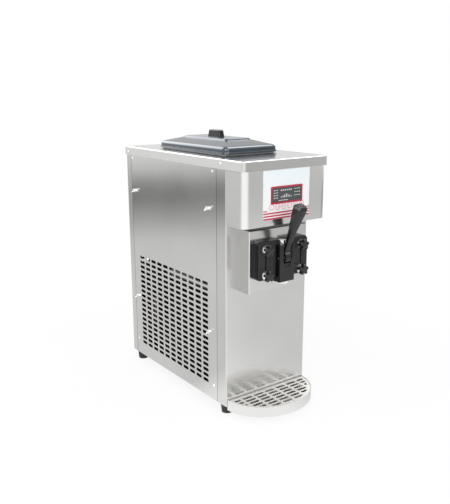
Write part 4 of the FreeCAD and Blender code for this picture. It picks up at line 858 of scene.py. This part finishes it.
border = round_edges_along(border_block("display_border", *BORDER_OUT, INK), 1, 3 * MM, 4)
carve(border, round_edges_along(border_block("border_cutter", *BORDER_IN, 10 * INK), 1, 1.2 * MM, 3))
place_on("cabinet", "film_white", print_red, stripe_print, border)
print("prints laid at y", round(film_face, 4))

# %% [markdown]
# ## Key rings and display marks
# Each key has a thin ring and a plain mark, which move with the key when it is pressed. The marks are bars
# and dashes only. The display shows rows of small dashes and a rising row of bars.

# %% Mark the keys and the display
RING_OUT = 8.3
RING_IN = 6.9
KEY_MARKS = (
    [(-0.6, 0.6, -3, 3)],
    [(-3, -1.8, -3, 3), (1.8, 3, -3, 3)],
    [(-3, 3, -0.6, 0.6), (-0.6, 0.6, -3, 3)],
    [(-3, 3, -0.6, 0.6)],
    [(-3, 3, 1.2, 2.4), (-3, 3, -2.4, -1.2)],
    [(-2.4, 2.4, -2.4, 2.4)],
)
for number, marks in enumerate(KEY_MARKS, 1):
    key_low, key_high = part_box(f"key_{number}")
    middle = (key_low + key_high) / 2
    centre = (middle.x, key_low.y - INK / 4, middle.z)
    ring = add_disc(f"key_ring_{number}", centre, RING_OUT * MM, INK * 1.5)
    carve(ring, add_disc("ring_cutter", centre, RING_IN * MM, 0.01))
    pieces = [ring]
    for left, right, low, high in marks:
        x, z = middle.x / MM, middle.z / MM
        pieces.append(ink_box("mark", x + left, x + right, z + low, z + high, key_low.y))
    place_on(f"key_{number}", "key_white", outline_pink, join_pieces(f"key_print_{number}", pieces))

window_x = (window_low.x + window_high.x) / 2 / MM
window_z = (window_low.z + window_high.z) / 2 / MM
dashes = []
for column, row in ((c, r) for c in range(2) for r in range(4)):
    x, z = window_x - 44 + 9 * column, window_z + 12 - 7 * row
    dashes.append(ink_box("dash", x - 2.6, x + 2.6, z - 1, z + 1, window_low.y))
for step in range(7):
    x = window_x - 20 + 6 * step
    tall = 3 + 2.2 * (3 - abs(step - 3))
    dashes.append(ink_box("bar", x - 1.2, x + 1.2, window_z - 9, window_z - 9 + tall, window_low.y))
for column, row in ((c, r) for c in range(3) for r in range(3)):
    x, z = window_x + 29 + 8 * column, window_z + 12 - 9 * row
    dashes.append(ink_box("dash", x - 2.2, x + 2.2, z - 1, z + 1, window_low.y))
for step in range(6):
    x, z = window_x - 20 + 7 * step, window_z + 11
    dashes.append(ink_box("square", x - 1.8, x + 1.8, z - 1.8, z + 1.8, window_low.y))
dashes.append(ink_box("line", window_x - 30, window_x + 4, window_z - 17, window_z - 15.6, window_low.y))
place_on("cabinet", "film_white", mark_white, join_pieces("display_marks", dashes))
print("keys and display marked")

# %% [markdown]
# ## Soft edges on the mouldings
# A moulded piece has no sharp edges, and it is the thin highlight along each edge that shows it. A copy of
# the CAD mesh is merged, its flat triangles are dissolved into whole faces, and a bevel rounds what is
# still sharp. The copy replaces the CAD piece.

# %% Soften the mouldings
def softened(node, body, slot, paint, width, angle=30, segments=3):
    piece = bpy.data.objects.new(f"{node}_moulding", nodes[node].data.copy())
    bpy.context.scene.collection.objects.link(piece)
    select_only(piece)
    bpy.ops.object.mode_set(mode="EDIT")
    bpy.ops.mesh.select_all(action="SELECT")
    bpy.ops.mesh.remove_doubles(threshold=0.00001)
    bpy.ops.mesh.dissolve_limited(angle_limit=math.radians(1.5))
    bpy.ops.object.mode_set(mode="OBJECT")
    finish_with(
        piece,
        "BEVEL",
        width=width * MM,
        segments=segments,
        limit_method="ANGLE",
        angle_limit=math.radians(angle),
    )
    smooth(piece, 35)
    place_on(body, slot, paint, piece)
    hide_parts(node)
    print(piece.name, len(piece.data.polygons), "faces")


softened("lever_grip", "lever", "black_moulding", grip_black, 3.0, 20)
softened("draw_lever", "lever", "black_moulding", grip_black, 1.6, 30)
softened("dispensing_door", "cabinet", "black_moulding", door_black, 1.6, 30)
for number in range(1, 5):
    softened(f"star_knob_{number}", f"knob_{number}", "black_moulding", knob_black, 0.9, 30)

# %% [markdown]
# ## Hopper lid
# The lid is a pressed shape that climbs in steps: flange, wall, round shoulder, sloping roof and a low
# plateau. Each step is the top face pulled up by an extrude and drawn in by a scale about the lid's middle,
# so the round corners follow by themselves. The underside gets a lip and a hollow in the same way.

# %% Draw the lid
lid_low, lid_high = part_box("hopper_lid")
LID_MIDDLE = ((lid_low + lid_high) / 2).to_2d() / MM
LID_HALF = ((lid_high - lid_low) / 2).to_2d() / MM
LIP_DROP = 9.0
FLANGE = 2.5
SHOULDER = 11.0
LID_CORNER = 16.5
LID_SOFT_EDGE = 0.7
LIP_INSET = 15.5
LIP_WALL = 3
HOLLOW = 18
lid_base = lid_low.z / MM + LIP_DROP


def select_level_face(piece, z, looks_up):
    """Selects the faces that lie level at a height and look up or down."""
    bpy.context.tool_settings.mesh_select_mode = (False, False, True)
    mesh = piece.data
    for part in (*mesh.vertices, *mesh.edges, *mesh.polygons):
        part.select = False
    for face in mesh.polygons:
        level = abs(face.center.z - z * MM) < 0.01 * MM
        face.select = level and (face.normal.z > 0.9 if looks_up else face.normal.z < -0.9)


def climb(piece, z, half, steps, looks_up):
    """Pulls a level face through steps of (height, half width, half length)."""
    select_level_face(piece, z, looks_up)
    select_only(piece)
    bpy.ops.object.mode_set(mode="EDIT")
    for height, wide, long in steps:
        bpy.ops.mesh.extrude_region_move(TRANSFORM_OT_translate={"value": (0, 0, (height - z) * MM)})
        bpy.ops.transform.resize(
            value=(wide / half[0], long / half[1], 1),
            center_override=(LID_MIDDLE.x * MM, LID_MIDDLE.y * MM, height * MM),
        )
        z, half = height, (wide, long)
    bpy.ops.object.mode_set(mode="OBJECT")


def lid_block(name, half, low, high, corner):
    centre = LID_MIDDLE
    block = add_box(
        name,
        ((centre.x - half[0]) * MM, (centre.y - half[1]) * MM, low * MM),
        ((centre.x + half[0]) * MM, (centre.y + half[1]) * MM, high * MM),
    )
    return round_edges_along(block, 2, corner * MM, 8)


wall = (LID_HALF.x - FLANGE, LID_HALF.y - FLANGE)
flange_top = lid_base + 4
shoulder_top = lid_base + 21.5
lid_top = lid_high.z / MM
lid_shell = lid_block("lid_shell", LID_HALF, lid_base, flange_top, LID_CORNER)
steps = [(flange_top, *wall)]
for turn in range(7):
    angle = math.radians(15 * turn)
    inset = SHOULDER * (1 - math.cos(angle))
    rise = SHOULDER * math.sin(angle)
    steps.append((shoulder_top - SHOULDER + rise, wall[0] - inset, wall[1] - inset))
ridge = (wall[0] * 0.5, wall[1] * 0.655)
steps += [
    (lid_top - 4.6, *ridge),
    (lid_top - 4.4, ridge[0] - 1.6, ridge[1] - 1.6),
    (lid_top - 1.2, ridge[0] - 3.0, ridge[1] - 3.0),
    (lid_top - 0.3, ridge[0] - 3.8, ridge[1] - 3.8),
    (lid_top, ridge[0] - 5.2, ridge[1] - 5.2),
]
climb(lid_shell, flange_top, LID_HALF, steps, True)
lip = (wall[0] - LIP_INSET, wall[1] - LIP_INSET)
climb(
    lid_shell,
    lid_base,
    LID_HALF,
    [
        (lid_base, *lip),
        (lid_base - LIP_DROP, *lip),
        (lid_base - LIP_DROP, lip[0] - LIP_WALL, lip[1] - LIP_WALL),
        (lid_base + HOLLOW, lip[0] - LIP_WALL, lip[1] - LIP_WALL),
    ],
    False,
)
finish_with(
    lid_shell,
    "BEVEL",
    width=LID_SOFT_EDGE * MM,
    segments=2,
    limit_method="ANGLE",
    angle_limit=math.radians(40),
)
smooth(lid_shell, 30)
place_on("lid", "lid_grey", lid_grey, lid_shell)
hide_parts("hopper_lid")
print("lid:", len(lid_shell.data.polygons), "faces, top at", round(lid_top, 1))

# %% [markdown]
# ## Panel screws
# The sheets are held by low domed screws. One head is a short cylinder whose upper edge is bevelled into a
# dome, with a cross cut into it, and each screw is a copy turned to the left or to the right.

# %% Drive the panel screws
PANEL_SPOTS = ((62, 713), (519, 712), (60, 76), (516, 82))
SKIRT_SPOTS = ((20, 737), (545, 732))
PANEL_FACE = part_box("side_panel_right")[1].x / MM
SKIRT_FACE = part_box("top_cover")[1].x / MM
HEAD_RADIUS = 3.8
HEAD_HEIGHT = 1.8


def bevel_far_rim(piece, z, radius, segments):
    """Bevels the edges of the face at a height."""
    mesh = piece.data
    bpy.context.tool_settings.mesh_select_mode = (False, True, False)
    for part in (*mesh.vertices, *mesh.edges, *mesh.polygons):
        part.select = False
    for edge in mesh.edges:
        edge.select = all(abs(mesh.vertices[index].co.z - z) < 1e-6 for index in edge.vertices)
    select_only(piece)
    bpy.ops.object.mode_set(mode="EDIT")
    bpy.ops.mesh.bevel(offset=radius, segments=segments, affect="EDGES")
    bpy.ops.object.mode_set(mode="OBJECT")
    return piece


def upright_rod(name, radius, low, high, sides):
    bpy.ops.object.select_all(action="DESELECT")
    bpy.ops.mesh.primitive_cylinder_add(
        vertices=sides, radius=radius * MM, depth=(high - low) * MM, location=(0, 0, (low + high) / 2 * MM)
    )
    bpy.context.object.name = name
    return settle(bpy.context.object)


def copies_on_sides(pattern, spots):
    """Copies of an upright pattern on both flanks, each with its own mesh, as one list."""
    copies = []
    for side in (-1, 1):
        for y, z, face, roll in spots:
            copy = bpy.data.objects.new(pattern.name, pattern.data.copy())
            bpy.context.scene.collection.objects.link(copy)
            lie_down = Matrix.Rotation(side * math.pi / 2, 4, "Y")
            spin = Matrix.Rotation(math.radians(roll), 4, "Z")
            copy.matrix_world = Matrix.Translation(from_panel(side * face, y, z)) @ lie_down @ spin
            copies.append(settle(copy))
    bpy.data.objects.remove(pattern)
    return copies


head = upright_rod("screw_head", HEAD_RADIUS, -0.3, HEAD_HEIGHT, 20)
bevel_far_rim(head, HEAD_HEIGHT * MM, 1.5 * MM, 4)
for long, wide in ((2.2, 0.5), (0.5, 2.2)):
    carve(head, add_box("cross", (-long * MM, -wide * MM, 0.8 * MM), (long * MM, wide * MM, 3 * MM)))
spots = [(y, z, PANEL_FACE, 20 * index) for index, (y, z) in enumerate(PANEL_SPOTS)]
spots += [(y, z, SKIRT_FACE, 35 + 20 * index) for index, (y, z) in enumerate(SKIRT_SPOTS)]
screw_heads = smooth(join_pieces("screw_heads", copies_on_sides(head, spots)), 35)
place_on("cabinet", "bright_steel", bright_steel, screw_heads)
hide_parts("panel_screws")
print("screws:", len(screw_heads.data.polygons), "faces")

# %% [markdown]
# ## Wing screws
# The side sheets come off by hand, with wing screws. A wing screw is a waisted boss with two thin ears that
# spread like a butterfly. An ear is a disc flattened by a scale and leaned outwards.

# %% Turn the wing screws
WING_SPOTS = ((82, 607, 52), (506, 607, 46), (81, 239, 60), (507, 241, 38))
EAR_REACH = 4.6
EAR_HEIGHT = 8.8
EAR_HALF = (2.3, 3.5, 4.6)
EAR_LEAN = math.radians(38)


def wing_ear(side):
    bpy.ops.object.select_all(action="DESELECT")
    bpy.ops.mesh.primitive_uv_sphere_add(
        segments=16, ring_count=8, radius=1, location=(0, side * EAR_REACH * MM, EAR_HEIGHT * MM)
    )
    ear = bpy.context.object
    ear.scale = Vector(EAR_HALF) * MM
    ear.rotation_euler = (-side * EAR_LEAN, 0, 0)
    return settle(ear)


boss = bevel_far_rim(upright_rod("wing_boss", 5, -0.5, 7, 20), 7 * MM, 2.6 * MM, 3)
wing = join_pieces("wing_screw", [boss, wing_ear(-1), wing_ear(1)])
spots = [(y, z, PANEL_FACE, roll) for y, z, roll in WING_SPOTS]
wings = smooth(join_pieces("wing_set", copies_on_sides(wing, spots)), 50)
place_on("cabinet", "bright_steel", bright_steel, wings)
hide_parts("wing_screws")
print("wing screws:", len(wings.data.polygons), "faces")

# %% Close the lesson: sizes
low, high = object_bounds()
print("visual box:", [round(c, 4) for c in (*low, *high)])
